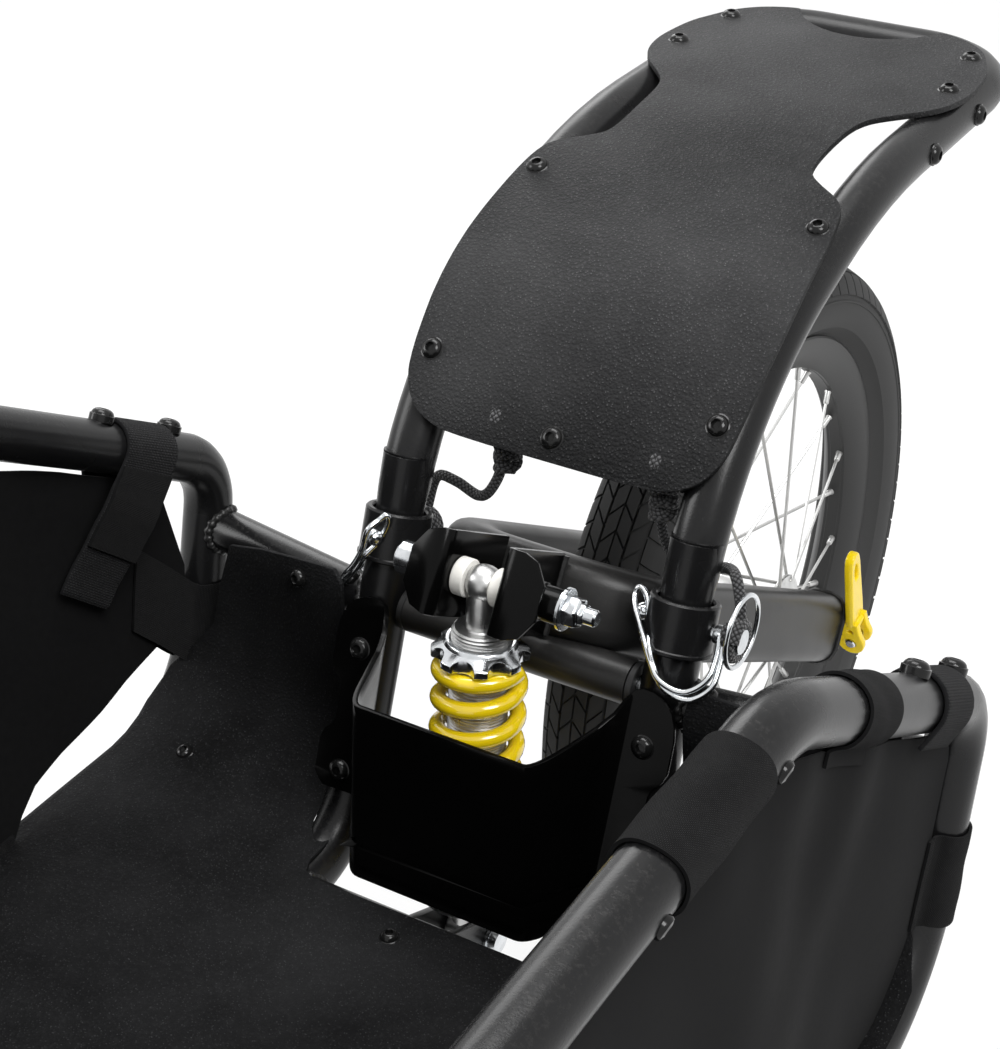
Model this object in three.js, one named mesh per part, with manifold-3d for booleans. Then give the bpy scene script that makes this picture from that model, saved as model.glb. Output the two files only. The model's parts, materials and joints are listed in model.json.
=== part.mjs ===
// Single wheel touring trailer: a low cargo bed on two looped side tubes, a sprung rear wheel
// under a lift-off fender, a steering yoke at the front and a fold-down stand.
// Millimetres, +Z up, +Y towards the rear wheel, +X the side of the wheel's quick-release lever.
// Everything is drawn round the wheel's axle line and then set down on the ground.
import * as THREE from 'three';
import { mergeVertices } from 'three/addons/utils/BufferGeometryUtils.js';
import Module from 'manifold-3d';

const wasm = await Module();
wasm.setup();

// General fits
const fit = 0.3;
const pinFit = 0.5;
const full = Math.PI * 2;
const deg = Math.PI / 180;
const bendStep = 20 * deg;
const sag = 0.9;
const sides = { tube: 12, rod: 12, wire: 6, coil: 5, spoke: 4, wheel: 48, lathe: 18, bolt: 8 };
const mirror = [['left', 1], ['right', -1]];

// Tubes
const tubeRadius = 12.7;
const braceRadius = 11;

// Wheel with its tyre, rim, hub and spokes, radii from the axle
const wheel = {
  radius: 202, half: 24.3, tread: 198.6, treadHalf: 13.5, shoulder: 191, shoulderHalf: 21.5,
  wall: 177, lowWall: 166, lowWallHalf: 20, beadTop: 160.6, bead: 153.3, beadHalf: 11.4,
};
const rim = { half: 14, edge: 159.8, bed: 152.7, side: 11.9, inner: 139.5, innerHalf: 5.5 };
const hub = {
  half: 49.7, nut: 8, nutWidth: 6, neck: 6.5, barrel: 10.5, flange: 22.5, flangeAt: 28, flangeWall: 3.2, bore: 3.1,
  spokes: 28, holes: 19, stagger: 1.9, wire: 1.05, nipple: 2.5, nippleLength: 12, dish: 2, reach: 138.2, cross: 52 * deg,
};

// Quick-release skewer and its lever
const skewer = { radius: 2.6, acorn: 9, acornWidth: 5, nutWidth: 9, pinAt: 73.5, pinRadius: 3, pinHalf: 7.6 };
const lever = {
  eye: 8, cheekIn: 3.2, cheekOut: 7, tip: 66, tipHalf: 6, rootHalf: 7, root: 9.5, thick: 5, bridge: 15, bridgeHalf: 4.2,
  slotHalf: 2, slotFrom: 46, slotTo: 58, lean: 15 * deg,
};

// Swing arm, in a frame that runs forward and up from the axle
const arm = {
  tilt: 31.2 * deg, crossAt: 273, crossHalf: 13, crossTall: 20, reach: 47, tall: 19, corner: 7,
  sideIn: 42, sideOut: 69.5, sideFrom: 259, sideTo: 17,
  pivotDrop: 29, pivotBore: 8, pivotHalf: 60, dropIn: 50, dropOut: 58, dropTall: 15, slot: 3,
};
const pivot = { bolt: 5, bushBore: 5.4, bushFlange: 3.3, bushDeep: 12, bushing: 10.8 };
const ear = {
  boltAt: 328, flangeAt: 341, thick: 3, inner: 13.5, wing: 32.5, tall: 20, chamfer: 8, boss: 9, bossOut: 32,
};
const shockBolt = { radius: 4, head: 8, headTall: 12, washer: 9, washerTall: 1.8, nut: 7.6, nutTall: 7, tail: 5 };
const shockBush = { radius: 9, inner: 6.8, outer: 13.2 };

// Coil-over shock, heights down from its upper eye
const shock = {
  lean: 6 * deg, long: 191, eye: 8.7, eyeHalf: 6.3, neck: 6.2, neckEnd: 9.5, stem: 7.3, bodyTop: 28, bodyTopRadius: 12, body: 14, bodyEnd: 112,
  boreTop: 58, bore: 6.9, shaft: 6.4, shaftTop: 75, seat: 24.5, seatRise: 28, seatTall: 5, foot: 9.5, lowerEye: 9,
  lowerEyeHalf: 8,
};
const collar = { top: 34.5, tall: 7.5, radius: 25.5, notch: 3.7, notches: 8, cone: 19 };
const spring = { mean: 20.7, wire: 4.25, turns: 6, steps: 8 };

// Side loops: vertices as distance from the axle and height over it, with the bend radius of each
const bed = {
  half: 205, rail: 266, railFront: -790, railRear: -425, crown: 80,
  rearTop: 141, rearCorner: -216, cornerBend: 34, floorRail: -2, rearFoot: -250, footBend: 72,
  frontTop: 206, frontCorner: -885, frontFoot: -862, seam: -600,
};

// Uprights with their collars, leaning back
const upright = { x: 77, rimY: -232, rimZ: 160, lean: 20.7 * deg, footY: -293, bend: 46, front: -758, below: 18.3 };
const cup = { radius: 16.5, tall: 25, plug: 18 };

// Rear cross braces between a rear post and an upright
const brace = { postY: -221, postZ: 106, innerY: -248, innerZ: 113 };

// Lower cross tube with the shock's clevis
const lower = { y: -338, plate: 4, cheek: 13, eye: 11, bolt: 4.2, head: 7.5, headTall: 5 };

// Guard plate round the spring
const guard = {
  thick: 2.5, wing: 91, fold: 63.5, front: 48, top: 125, plateTop: 111, bottom: 15, wingBottom: 8, foot: 33, frontTop: -322,
  frontBottom: -329, notchTop: 84, notchBottom: 62, notchIn: 84, boltZ: [101, 42],
};

// Bolt heads
const button = { radius: 5.2, tall: 3.2, crown: 2.4, foot: 0.6 };

// Fender hoop and panel
const fender = {
  knee: 85, kneeBend: 185, crownY: -55, crownZ: 291.5, crownBend: 290, tailY: 141, tailBend: 46, panel: 3,
  braceRadius: 8, braceAlong: 56, braceDrop: 9,
};
// Fender panel: its run along the hoop and its half-width; the outline and the bolts are shares of these,
// counted from the bottom edge
const deck = { start: 43, long: 375.5, half: 89, recess: 44, recessPast: 15 };
const outlineShares = [
  [0, 0.562], [0.006, 0.719], [0.021, 0.843], [0.047, 0.921], [0.079, 0.955],
  [0.197, 0.989], [0.341, 0.955], [0.405, 0.921], [0.431, 0.865], [0.455, 0.697],
  [0.471, 0.618], [0.495, 0.596], [0.543, 0.596], [0.595, 0.607], [0.626, 0.64],
  [0.647, 0.697], [0.671, 0.787], [0.695, 0.876], [0.722, 0.944], [0.759, 0.989],
  [0.802, 1], [0.871, 0.966], [0.908, 0.899], [0.94, 0.843], [0.961, 0.775],
  [0.98, 0.685], [0.993, 0.573], [1, 0.472],
];
const deckBoltShares = [
  [0.091, 0.843], [0.091, -0.843], [0.378, 0.843], [0.378, -0.843], [0.786, 0.865],
  [0.786, -0.865], [0.919, 0.787], [0.919, -0.787], [0.028, 0],
];
const hoopBoltShares = [[0.66, 1], [0.825, 1]];

// Floor sheet
const sheet = { inset: 5, inner: 92, thick: 2.5, front: -784, wallTop: 117, mouth: 72, mouthY: -338, wallCut: 44, slack: 1.6, bandSlack: 5,
  wingPush: 34 };

// Front cross tube, neck, head tube and steering yoke
const front = { y: -771, neckHalf: 20, neckTall: 15, headY: -925, head: 21, headBore: 14.4, headHalf: 42 };
const yoke = {
  plate: 6, gap: 0.8, plateHalf: 24, blockFrom: -953, blockTo: -989, blockHalf: 34, pin: 13.8, pinHead: 18, pinTall: 6,
  shoulderX: 112, shoulderY: -1012, hitchX: 92, hitchY: -1392, hitchZ: 138, shoulderBend: 60, rootX: 20, rootY: -968,
  elbowY: -1290,
};
const hitch = {
  plate: 7, radius: 21, slot: 6, long: 55, stub: 11.5, leverAt: 32, leverLong: 62, leverHalf: 8, leverThick: 5.8, boss: 10,
  bossTall: 6, pin: 4, axleAt: 20,
};

// Fold-down stand
const stand = { y: -730, drop: 28, legX: 116, footX: 140, radius: 9.5, bend: 26, footRise: 18, foot: 13, footTall: 20, clampHalf: 12, clampWall: 6 };

// Lock pins with their bails
const pin = { below: 12, radius: 3.2, bore: 3.6, tip: 22, ball: 4, head: 6.2, headFrom: 18, headTo: 31, wire: 1.5, steps: 32 };

// Lanyard routes, hand-chosen points behind each leg
const lanyard = {
  radius: 2.6, steps: 12, lead: 6, from: { left: 52, right: 31 },
  left: [[51, -206, 174], [56, -203, 160], [72, -207, 160], [88, -212, 168], [98, -224, 171]],
  right: [[-35, -212, 177], [-44, -211, 166], [-60, -208, 168], [-73, -204, 165]],
};

// Fabric side panels with their bands, and the corner straps
const cloth = { thick: 2, margin: 14.5, band: 1.8, slack: 0.3, root: 0.4, tab: 12 };
const bands = [
  { on: 'rail', from: -520, to: -458 }, { on: 'rail', from: -760, to: -700 }, { on: 'slope', from: 52, to: 98 },
  { on: 'post', from: 62, to: 92 },
];
const strap = { before: 67.5, tail: 96, width: 24, thick: 3 };

const paint = {
  frame: { color: 0x1b1b1d, roughness: 0.42, metalness: 0.35 },
  plastic: { color: 0x17171a, roughness: 0.72, metalness: 0 },
  sheet: { color: 0x222225, roughness: 0.8, metalness: 0 },
  gloss: { color: 0x0c0c0d, roughness: 0.2, metalness: 0.3 },
  zinc: { color: 0xc9ccd0, roughness: 0.28, metalness: 1 },
  steel: { color: 0xb4b2ab, roughness: 0.35, metalness: 1 },
  yellow: { color: 0xe9c800, roughness: 0.35, metalness: 0.1 },
  nylon: { color: 0xe9e7df, roughness: 0.5, metalness: 0 },
  rubber: { color: 0x19191a, roughness: 0.9, metalness: 0 },
  fabric: { color: 0x131314, roughness: 0.95, metalness: 0 },
};

// Vector and geometry helpers
const vec = (x, y, z) => new THREE.Vector3(x, y, z);
const turned = (angle, radius) => [radius * Math.cos(angle), radius * Math.sin(angle)];

function closed(source) {
  let geometry = source.clone();
  geometry.deleteAttribute('normal');
  geometry.deleteAttribute('uv');
  geometry = mergeVertices(geometry, fit / 1000);
  const at = geometry.getAttribute('position');
  const index = Array.from(geometry.index.array);
  const corner = (i) => new THREE.Vector3().fromBufferAttribute(at, index[i]);
  let volume = 0;
  for (let i = 0; i < index.length; i += 3) {
    volume += corner(i).dot(corner(i + 1).cross(corner(i + 2)));
  }
  if (volume < 0) index.reverse();
  return new wasm.Manifold(new wasm.Mesh({
    numProp: 3, vertProperties: new Float32Array(at.array), triVerts: new Uint32Array(index),
  }));
}

function joined(...solids) {
  return solids.reduce((all, one) => all.add(one));
}

function geometryOf(solid) {
  const mesh = solid.getMesh();
  const geometry = new THREE.BufferGeometry();
  geometry.setAttribute('position', new THREE.BufferAttribute(new Float32Array(mesh.vertProperties), 3));
  geometry.setIndex(new THREE.BufferAttribute(new Uint32Array(mesh.triVerts), 1));
  geometry.computeVertexNormals();
  return geometry;
}

// Curve that passes through stations, each with its point and direction
class Route extends THREE.Curve {
  constructor(stations) {
    super();
    this.stations = stations;
  }
  getPoint(u, target = vec(0, 0, 0)) {
    return target.copy(this.stations[Math.round(u * (this.stations.length - 1))].point);
  }
  getPointAt(u, target) {
    return this.getPoint(u, target);
  }
  getTangentAt(u, target = vec(0, 0, 0)) {
    return target.copy(this.stations[Math.round(u * (this.stations.length - 1))].way);
  }
}

// Stations along straight runs joined by arcs: each corner is [point, bend radius]
function bent(corners, share = 1) {
  const stations = [];
  const add = (point, way) => {
    const last = stations[stations.length - 1];
    if (!last || last.point.distanceTo(point) > fit) stations.push({ point, way });
  };
  corners.forEach(([point, radius], i) => {
    const before = corners[i - 1]?.[0];
    const after = corners[i + 1]?.[0];
    const into = before ? point.clone().sub(before).normalize() : after.clone().sub(point).normalize();
    const out = after ? after.clone().sub(point).normalize() : into;
    const turn = into.angleTo(out);
    if (!radius || turn < bendStep / 100) {
      add(point, into.clone().add(out).normalize());
      return;
    }
    const hinge = into.clone().cross(out).normalize();
    const start = point.clone().addScaledVector(into, -radius * Math.tan(turn / 2));
    const centre = start.clone().addScaledVector(hinge.clone().cross(into), radius);
    const step = Math.min(bendStep, 2 * Math.acos(1 - sag / radius)) / share;
    const count = Math.max(1, Math.ceil(turn / step));
    for (let k = 0; k <= count; k += 1) {
      const angle = turn * k / count;
      const spoke = start.clone().sub(centre).applyAxisAngle(hinge, angle);
      add(centre.clone().add(spoke), into.clone().applyAxisAngle(hinge, angle));
    }
  });
  return stations;
}

// Stations through hand-chosen points, smoothed
function smooth(points, count) {
  const curve = new THREE.CatmullRomCurve3(points, false, 'centripetal');
  return Array.from({ length: count + 1 }, (_, i) => (
    { point: curve.getPointAt(i / count), way: curve.getTangentAt(i / count) }));
}

function ring(radius, count) {
  return Array.from({ length: count }, (_, i) => new THREE.Vector2(...turned(full * i / count, radius)));
}

function swept(stations, radius, count) {
  return closed(new THREE.ExtrudeGeometry(new THREE.Shape(ring(radius, count)), {
    steps: stations.length - 1, extrudePath: new Route(stations), bevelEnabled: false,
  }));
}

const tube = (corners, radius = tubeRadius, count = sides.tube) => swept(bent(corners), radius, count);
const rod = (from, to, radius, count = sides.rod) => tube([[from], [to]], radius, count);

// Plates: an outline of [a, b] pairs pushed along one axis
function plate(outline, from, to, axis) {
  const shape = new THREE.Shape(outline.map(([a, b]) => new THREE.Vector2(a, b)));
  const geometry = new THREE.ExtrudeGeometry(shape, { depth: to - from, bevelEnabled: false });
  geometry.translate(0, 0, from);
  const x = vec(1, 0, 0);
  const y = vec(0, 1, 0);
  const z = vec(0, 0, 1);
  const basis = { x: [y, z, x], y: [z, x, y], z: [x, y, z] }[axis];
  return closed(geometry.applyMatrix4(new THREE.Matrix4().makeBasis(...basis)));
}

function box(x0, x1, y0, y1, z0, z1) {
  return plate([[x0, y0], [x1, y0], [x1, y1], [x0, y1]], z0, z1, 'z');
}

// Outline of a rectangle with rounded corners
function rounded(a0, a1, b0, b1, radius, steps = 3) {
  const corners = [[a1 - radius, b1 - radius], [a0 + radius, b1 - radius], [a0 + radius, b0 + radius], [a1 - radius, b0 + radius]];
  return corners.flatMap(([a, b], q) => Array.from({ length: steps + 1 }, (_, i) => {
    const [da, db] = turned((q + i / steps) * full / 4, radius);
    return [a + da, b + db];
  }));
}

// Turned pieces: a profile of [radius, distance along the axis], about X, or about Z
function lathe(profile, axis, count = sides.lathe) {
  const points = profile.concat([profile[0]]).map(([r, h]) => new THREE.Vector2(r, h));
  const geometry = new THREE.LatheGeometry(points, count);
  if (axis === 'x') geometry.rotateZ(-full / 4);
  if (axis === 'z') geometry.rotateX(full / 4);
  return closed(geometry);
}

const disc = (radius, from, to, axis, count = sides.lathe) => lathe([[0, from], [radius, from], [radius, to], [0, to]], axis, count);
const washer = (outer, inner, from, to, axis, count = sides.lathe) => (
  lathe([[inner, from], [outer, from], [outer, to], [inner, to]], axis, count));

// Solid moved so that its own origin and +Z land on a point and a direction
function set(solid, at, up = vec(0, 0, 1)) {
  const turn = new THREE.Quaternion().setFromUnitVectors(vec(0, 0, 1), up.clone().normalize());
  const matrix = new THREE.Matrix4().compose(at, turn, vec(1, 1, 1));
  return closed(geometryOf(solid).applyMatrix4(matrix));
}

// Domed button head standing on a surface at a point, along its normal
function boltHead(at, normal) {
  const head = lathe([
    [0, -button.foot], [button.radius, -button.foot], [button.radius, button.tall - button.crown],
    [button.radius * 0.6, button.tall], [0, button.tall],
  ], 'z', sides.bolt);
  return set(head, at, normal);
}

// Solid through rings of equal count, capped at both ends
function loft(rings) {
  const n = rings[0].length;
  const points = rings.flat();
  const index = [];
  for (let r = 0; r < rings.length - 1; r += 1) {
    for (let i = 0; i < n; i += 1) {
      const a = r * n + i;
      const b = r * n + (i + 1) % n;
      index.push(a, b, b + n, a, b + n, a + n);
    }
  }
  const capAt = (r, flip) => {
    const flat = THREE.ShapeUtils.triangulateShape(flatten(rings[r]), []);
    for (const [a, b, c] of flat) {
      const tri = flip ? [c, b, a] : [a, b, c];
      index.push(...tri.map((i) => r * n + i));
    }
  };
  capAt(0, true);
  capAt(rings.length - 1, false);
  const geometry = new THREE.BufferGeometry().setFromPoints(points);
  geometry.setIndex(index);
  return closed(geometry);
}

// A ring's points in its own plane
function flatten(points) {
  const origin = points[0];
  const a = points[1].clone().sub(origin).normalize();
  const far = points.reduce((best, p) => {
    const size = p.clone().sub(origin).cross(a).length();
    return size > best.size ? { p, size } : best;
  }, { p: origin, size: 0 }).p;
  const normal = a.clone().cross(far.clone().sub(origin)).normalize();
  const b = normal.clone().cross(a);
  const flat = points.map((p) => new THREE.Vector2(p.clone().sub(origin).dot(a), p.clone().sub(origin).dot(b)));
  if (THREE.ShapeUtils.isClockWise(flat)) flat.forEach((p) => p.setY(-p.y));
  return flat;
}

const model = new THREE.Group();
const armGroup = new THREE.Group();
armGroup.rotation.x = -arm.tilt;
const shockGroup = new THREE.Group();
shockGroup.rotation.x = -shock.lean;
const leverGroup = new THREE.Group();
model.add(armGroup, shockGroup, leverGroup);

function show(name, solid, coat, parent = model) {
  const mesh = new THREE.Mesh(geometryOf(solid), new THREE.MeshStandardMaterial(paint[coat]));
  mesh.name = name;
  parent.add(mesh);
}

// Directions and places that several pieces share
const ahead = (along, off) => vec(0, along, off).applyAxisAngle(vec(1, 0, 0), -arm.tilt);
const pivotAt = ahead(-arm.crossAt, -arm.pivotDrop);
const eyeAt = ahead(-ear.boltAt, 0);
const shockUp = vec(0, Math.sin(shock.lean), Math.cos(shock.lean));
const lowerEyeAt = eyeAt.clone().addScaledVector(shockUp, -shock.long);
const legUp = vec(0, Math.sin(upright.lean), Math.cos(upright.lean));
const legAhead = vec(0, -Math.cos(upright.lean), Math.sin(upright.lean));
const rimAt = (x) => vec(x, upright.rimY, upright.rimZ);
const onLeg = (x, below) => rimAt(x).addScaledVector(legUp, -below);

// Side loops
const loopCorners = (x) => [
  [vec(x, bed.seam, bed.floorRail)],
  [vec(x, bed.frontFoot, bed.floorRail), bed.footBend],
  [vec(x, bed.frontCorner, bed.frontTop), bed.cornerBend],
  [vec(x, bed.railFront, bed.rail), bed.crown],
  [vec(x, bed.railRear, bed.rail), bed.crown],
  [vec(x, bed.rearCorner, bed.rearTop), bed.cornerBend],
  [vec(x, bed.rearFoot, bed.floorRail), bed.footBend],
  [vec(x, bed.seam + fit, bed.floorRail)],
];
const slopeWay = vec(0, bed.rearCorner - bed.railRear, bed.rearTop - bed.rail).normalize();
const slopeUp = vec(0, -slopeWay.z, slopeWay.y);
const onSlope = (x, along) => vec(x, bed.railRear, bed.rail).addScaledVector(slopeWay, along);
const postWay = vec(0, bed.rearFoot - bed.rearCorner, bed.floorRail - bed.rearTop).normalize();
const onPost = (x, height) => {
  const share = (bed.rearTop - height) / (bed.rearTop - bed.floorRail);
  return vec(x, bed.rearCorner + (bed.rearFoot - bed.rearCorner) * share, height);
};
const slopeLong = onSlope(0, 0).distanceTo(vec(0, bed.rearCorner, bed.rearTop));
const strapFrom = slopeLong - strap.before;
const strapTo = strapFrom + strap.width;
for (const [side, way] of mirror) {
  const x = way * bed.half;
  let loop = tube(loopCorners(x));
  for (const along of [strapFrom - button.radius * 3, strapTo + button.radius * 3]) {
    loop = loop.add(boltHead(onSlope(x, along).addScaledVector(slopeUp, tubeRadius), slopeUp));
  }
  show(`side_loop_${side}`, loop, 'frame');
}

// Uprights: from inside the collar down, bent forward under the floor
const uprightRoute = (x) => [
  [onLeg(x, upright.below)],
  [vec(x, upright.footY, bed.floorRail), upright.bend],
  [vec(x, upright.front, bed.floorRail)],
];
const pinWays = { left: [vec(-1, 0, 0), legAhead], right: [legAhead, vec(-1, 0, 0)] };
const pinAt = (x) => onLeg(x, pin.below);
const pinHole = (side, x) => {
  const [way] = pinWays[side];
  const at = pinAt(x);
  const half = cup.radius * 1.5;
  return rod(at.clone().addScaledVector(way, -half), at.clone().addScaledVector(way, half), pin.bore);
};
const pivotSeat = upright.x + tubeRadius / 2 + fit;
const pivotHole = rod(vec(-pivotSeat, pivotAt.y, pivotAt.z), vec(pivotSeat, pivotAt.y, pivotAt.z), pivot.bolt + fit);
for (const [side, way] of mirror) {
  const x = way * upright.x;
  show(`upright_${side}`, tube(uprightRoute(x)).subtract(pivotHole), 'frame');
  const sleeve = washer(cup.radius, tubeRadius + fit, -cup.tall, 0, 'z');
  show(`collar_${side}`, set(sleeve, rimAt(x), legUp).subtract(pinHole(side, x)), 'frame');
}

// Rear cross braces
for (const [side, way] of mirror) {
  const outer = vec(way * (bed.half - tubeRadius / 2), brace.postY, brace.postZ);
  const inner = vec(way * (upright.x + tubeRadius / 2), brace.innerY, brace.innerZ);
  const post = rod(onPost(way * bed.half, 0), onPost(way * bed.half, bed.rearTop), tubeRadius + 2 * fit, sides.lathe);
  const leg = rod(onLeg(way * upright.x, 0), onLeg(way * upright.x, brace.innerZ), tubeRadius + 2 * fit, sides.lathe);
  const bar = rod(outer, inner, braceRadius, sides.tube).subtract(post).subtract(leg);
  show(`rear_brace_${side}`, bar, 'frame');
}

// Lower cross tube with the clevis that carries the shock
const crossEnd = upright.x - tubeRadius - fit;
let lowerCross = rod(vec(-crossEnd, lower.y, bed.floorRail), vec(crossEnd, lower.y, bed.floorRail), braceRadius, sides.tube);
const clevisOutline = [];
const clevisAngle = Math.atan2(lowerEyeAt.z - bed.floorRail, lowerEyeAt.y - lower.y);
for (const [at, radius, start] of [
  [[lowerEyeAt.y, lowerEyeAt.z], lower.eye, clevisAngle - full / 4],
  [[lower.y, bed.floorRail], braceRadius, clevisAngle + full / 4],
]) {
  for (let i = 0; i <= 6; i += 1) {
    const [dy, dz] = turned(start + i * full / 12, radius);
    clevisOutline.push([at[0] + dy, at[1] + dz]);
  }
}
const cheekIn = lower.cheek - lower.plate;
for (const way of [1, -1]) {
  const [from, to] = way > 0 ? [cheekIn, lower.cheek] : [-lower.cheek, -cheekIn];
  lowerCross = lowerCross.add(plate(clevisOutline, from, to, 'x'));
}
const lowerHole = rod(vec(-upright.x, lowerEyeAt.y, lowerEyeAt.z), vec(upright.x, lowerEyeAt.y, lowerEyeAt.z), lower.bolt + fit);
show('lower_cross', lowerCross.subtract(lowerHole), 'frame');
const lowerBolt = lathe([
  [0, -lower.cheek - fit - lower.headTall], [lower.head, -lower.cheek - fit - lower.headTall],
  [lower.head, -lower.cheek - fit], [lower.bolt, -lower.cheek - fit], [lower.bolt, lower.cheek + fit],
  [lower.head, lower.cheek + fit], [lower.head, lower.cheek + fit + lower.headTall],
  [0, lower.cheek + fit + lower.headTall],
], 'x', sides.rod);
show('lower_bolt', set(lowerBolt, vec(0, lowerEyeAt.y, lowerEyeAt.z)), 'zinc');

// Guard round the spring: a folded plate bolted to both uprights
const legFront = (z, off) => {
  const axisY = upright.rimY - (upright.rimZ - z) * Math.tan(upright.lean);
  return axisY - (tubeRadius + off) / Math.cos(upright.lean);
};
const guardFront = (z) => {
  const share = (z - guard.bottom) / (guard.plateTop - guard.bottom);
  return guard.frontBottom + (guard.frontTop - guard.frontBottom) * share;
};
const guardRing = (z) => {
  const back = legFront(z, fit);
  const face = legFront(z, fit + guard.thick);
  const plateFace = guardFront(z);
  const plateBack = plateFace + guard.thick;
  const slim = guard.thick * 0.9;
  const half = [
    [guard.wing, back], [guard.wing, face], [guard.fold, face], [guard.front, plateFace],
  ];
  const inner = [[guard.front - slim, plateBack], [guard.fold - slim, back]];
  const mirrored = (list) => list.map(([x, y]) => [-x, y]).reverse();
  return [...half, ...mirrored(half), ...mirrored(inner), ...inner]
    .map(([x, y]) => vec(x, y, z));
};
let guardPlate = loft([guardRing(guard.wingBottom), guardRing(guard.top)]);
const far = bed.half * 3;
guardPlate = guardPlate.subtract(box(-guard.fold, guard.fold, -far, legFront(guard.top, 0), guard.plateTop, guard.top * 2));
guardPlate = guardPlate.subtract(box(-guard.fold, guard.fold, -far, far, -guard.bottom, guard.bottom));
for (const way of [1, -1]) {
  const [low, high] = way > 0 ? [guard.fold, guard.wing * 2] : [-guard.wing * 2, -guard.fold];
  guardPlate = guardPlate.subtract(box(low, high, -far, far, -guard.bottom, guard.foot));
  const [from, to] = way > 0 ? [guard.notchIn, guard.wing * 2] : [-guard.wing * 2, -guard.notchIn];
  guardPlate = guardPlate.subtract(box(from, to, -far, far, guard.notchBottom, guard.notchTop));
  for (const z of guard.boltZ) {
    const at = vec(way * upright.x, legFront(z, fit + guard.thick), z);
    guardPlate = guardPlate.add(boltHead(at, legAhead));
  }
}
show('spring_guard', guardPlate, 'gloss');

// Fender hoop: both legs and the tail in one bent tube
const kneeAt = rimAt(0).addScaledVector(legUp, fender.knee);
const hoopSide = (x) => [
  [onLeg(x, cup.plug)],
  [vec(x, kneeAt.y, kneeAt.z), fender.kneeBend],
  [vec(x, fender.crownY, fender.crownZ), fender.crownBend],
];
const hoopCorners = [
  ...hoopSide(upright.x),
  [vec(upright.x, fender.tailY, fender.crownZ), fender.tailBend],
  [vec(-upright.x, fender.tailY, fender.crownZ), fender.tailBend],
  ...hoopSide(-upright.x).reverse(),
];
let hoop = tube(hoopCorners).subtract(pinHole('left', upright.x)).subtract(pinHole('right', -upright.x));

// Panel's run over the hoop, as stations by length from the collar's rim
const panelRun = bent([[rimAt(0)], ...hoopSide(0).slice(1), [vec(0, fender.tailY + tubeRadius, fender.crownZ)]]);
function onPanel(length) {
  let left = length;
  for (let i = 0; i < panelRun.length - 1; i += 1) {
    const a = panelRun[i];
    const b = panelRun[i + 1];
    const long = a.point.distanceTo(b.point);
    if (left <= long) {
      const t = left / long;
      const way = a.way.clone().lerp(b.way, t).normalize();
      return { point: a.point.clone().lerp(b.point, t), way, out: vec(0, -way.z, way.y) };
    }
    left -= long;
  }
  const last = panelRun[panelRun.length - 1];
  return { point: last.point, way: last.way, out: vec(0, -last.way.z, last.way.y) };
}
const panelAt = (part, off) => {
  const { point, out } = onPanel(deck.start + part * deck.long);
  return point.clone().addScaledVector(out, tubeRadius + fit + off);
};
const runParts = panelRun.map((_, i) => (runLength(i) - deck.start) / deck.long);
const bendParts = runParts.filter((part) => part > 0 && part < 1 && outlineShares.every(([p]) => Math.abs(p - part) > 1 / deck.long));
const widthAt = (part) => {
  const i = outlineShares.findIndex(([p]) => p >= part);
  const [p0, h0] = outlineShares[Math.max(0, i - 1)];
  const [p1, h1] = outlineShares[i];
  return p1 > p0 ? h0 + (h1 - h0) * (part - p0) / (p1 - p0) : h1;
};
function runLength(last) {
  let long = 0;
  for (let i = 0; i < last; i += 1) long += panelRun[i].point.distanceTo(panelRun[i + 1].point);
  return long;
}
const ringParts = [...outlineShares.map(([part]) => part), ...bendParts].sort((a, b) => a - b);
const panelRings = ringParts.map((part) => {
  const half = deck.half * widthAt(part);
  const low = panelAt(part, 0);
  const high = panelAt(part, fender.panel);
  return [vec(-half, low.y, low.z), vec(half, low.y, low.z), vec(half, high.y, high.z), vec(-half, high.y, high.z)];
});
let panel = loft(panelRings);
const tail = panelAt(1, 0);
panel = panel.subtract(rod(
  vec(0, tail.y + deck.recessPast, tail.z - deck.recess), vec(0, tail.y + deck.recessPast, tail.z + deck.recess),
  deck.recess, sides.wheel / 2));
for (const [part, x] of deckBoltShares) {
  const at = panelAt(part, fender.panel);
  at.x = deck.half * x;
  panel = panel.add(boltHead(at, onPanel(deck.start + part * deck.long).out));
}
show('fender_panel', panel, 'plastic');
for (const [part, way] of hoopBoltShares) {
  const { point } = onPanel(deck.start + part * deck.long);
  hoop = hoop.add(boltHead(vec(way * (upright.x + tubeRadius), point.y, point.z), vec(way, 0, 0)));
}
show('fender_hoop', hoop, 'frame');
const hoopBrace = onPanel(fender.braceAlong);
const braceAt = hoopBrace.point.clone().addScaledVector(hoopBrace.out, tubeRadius - fender.braceRadius);
const braceEnd = upright.x - tubeRadius - fit;
show('fender_brace', rod(vec(-braceEnd, braceAt.y, braceAt.z), vec(braceEnd, braceAt.y, braceAt.z), fender.braceRadius), 'frame');

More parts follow.
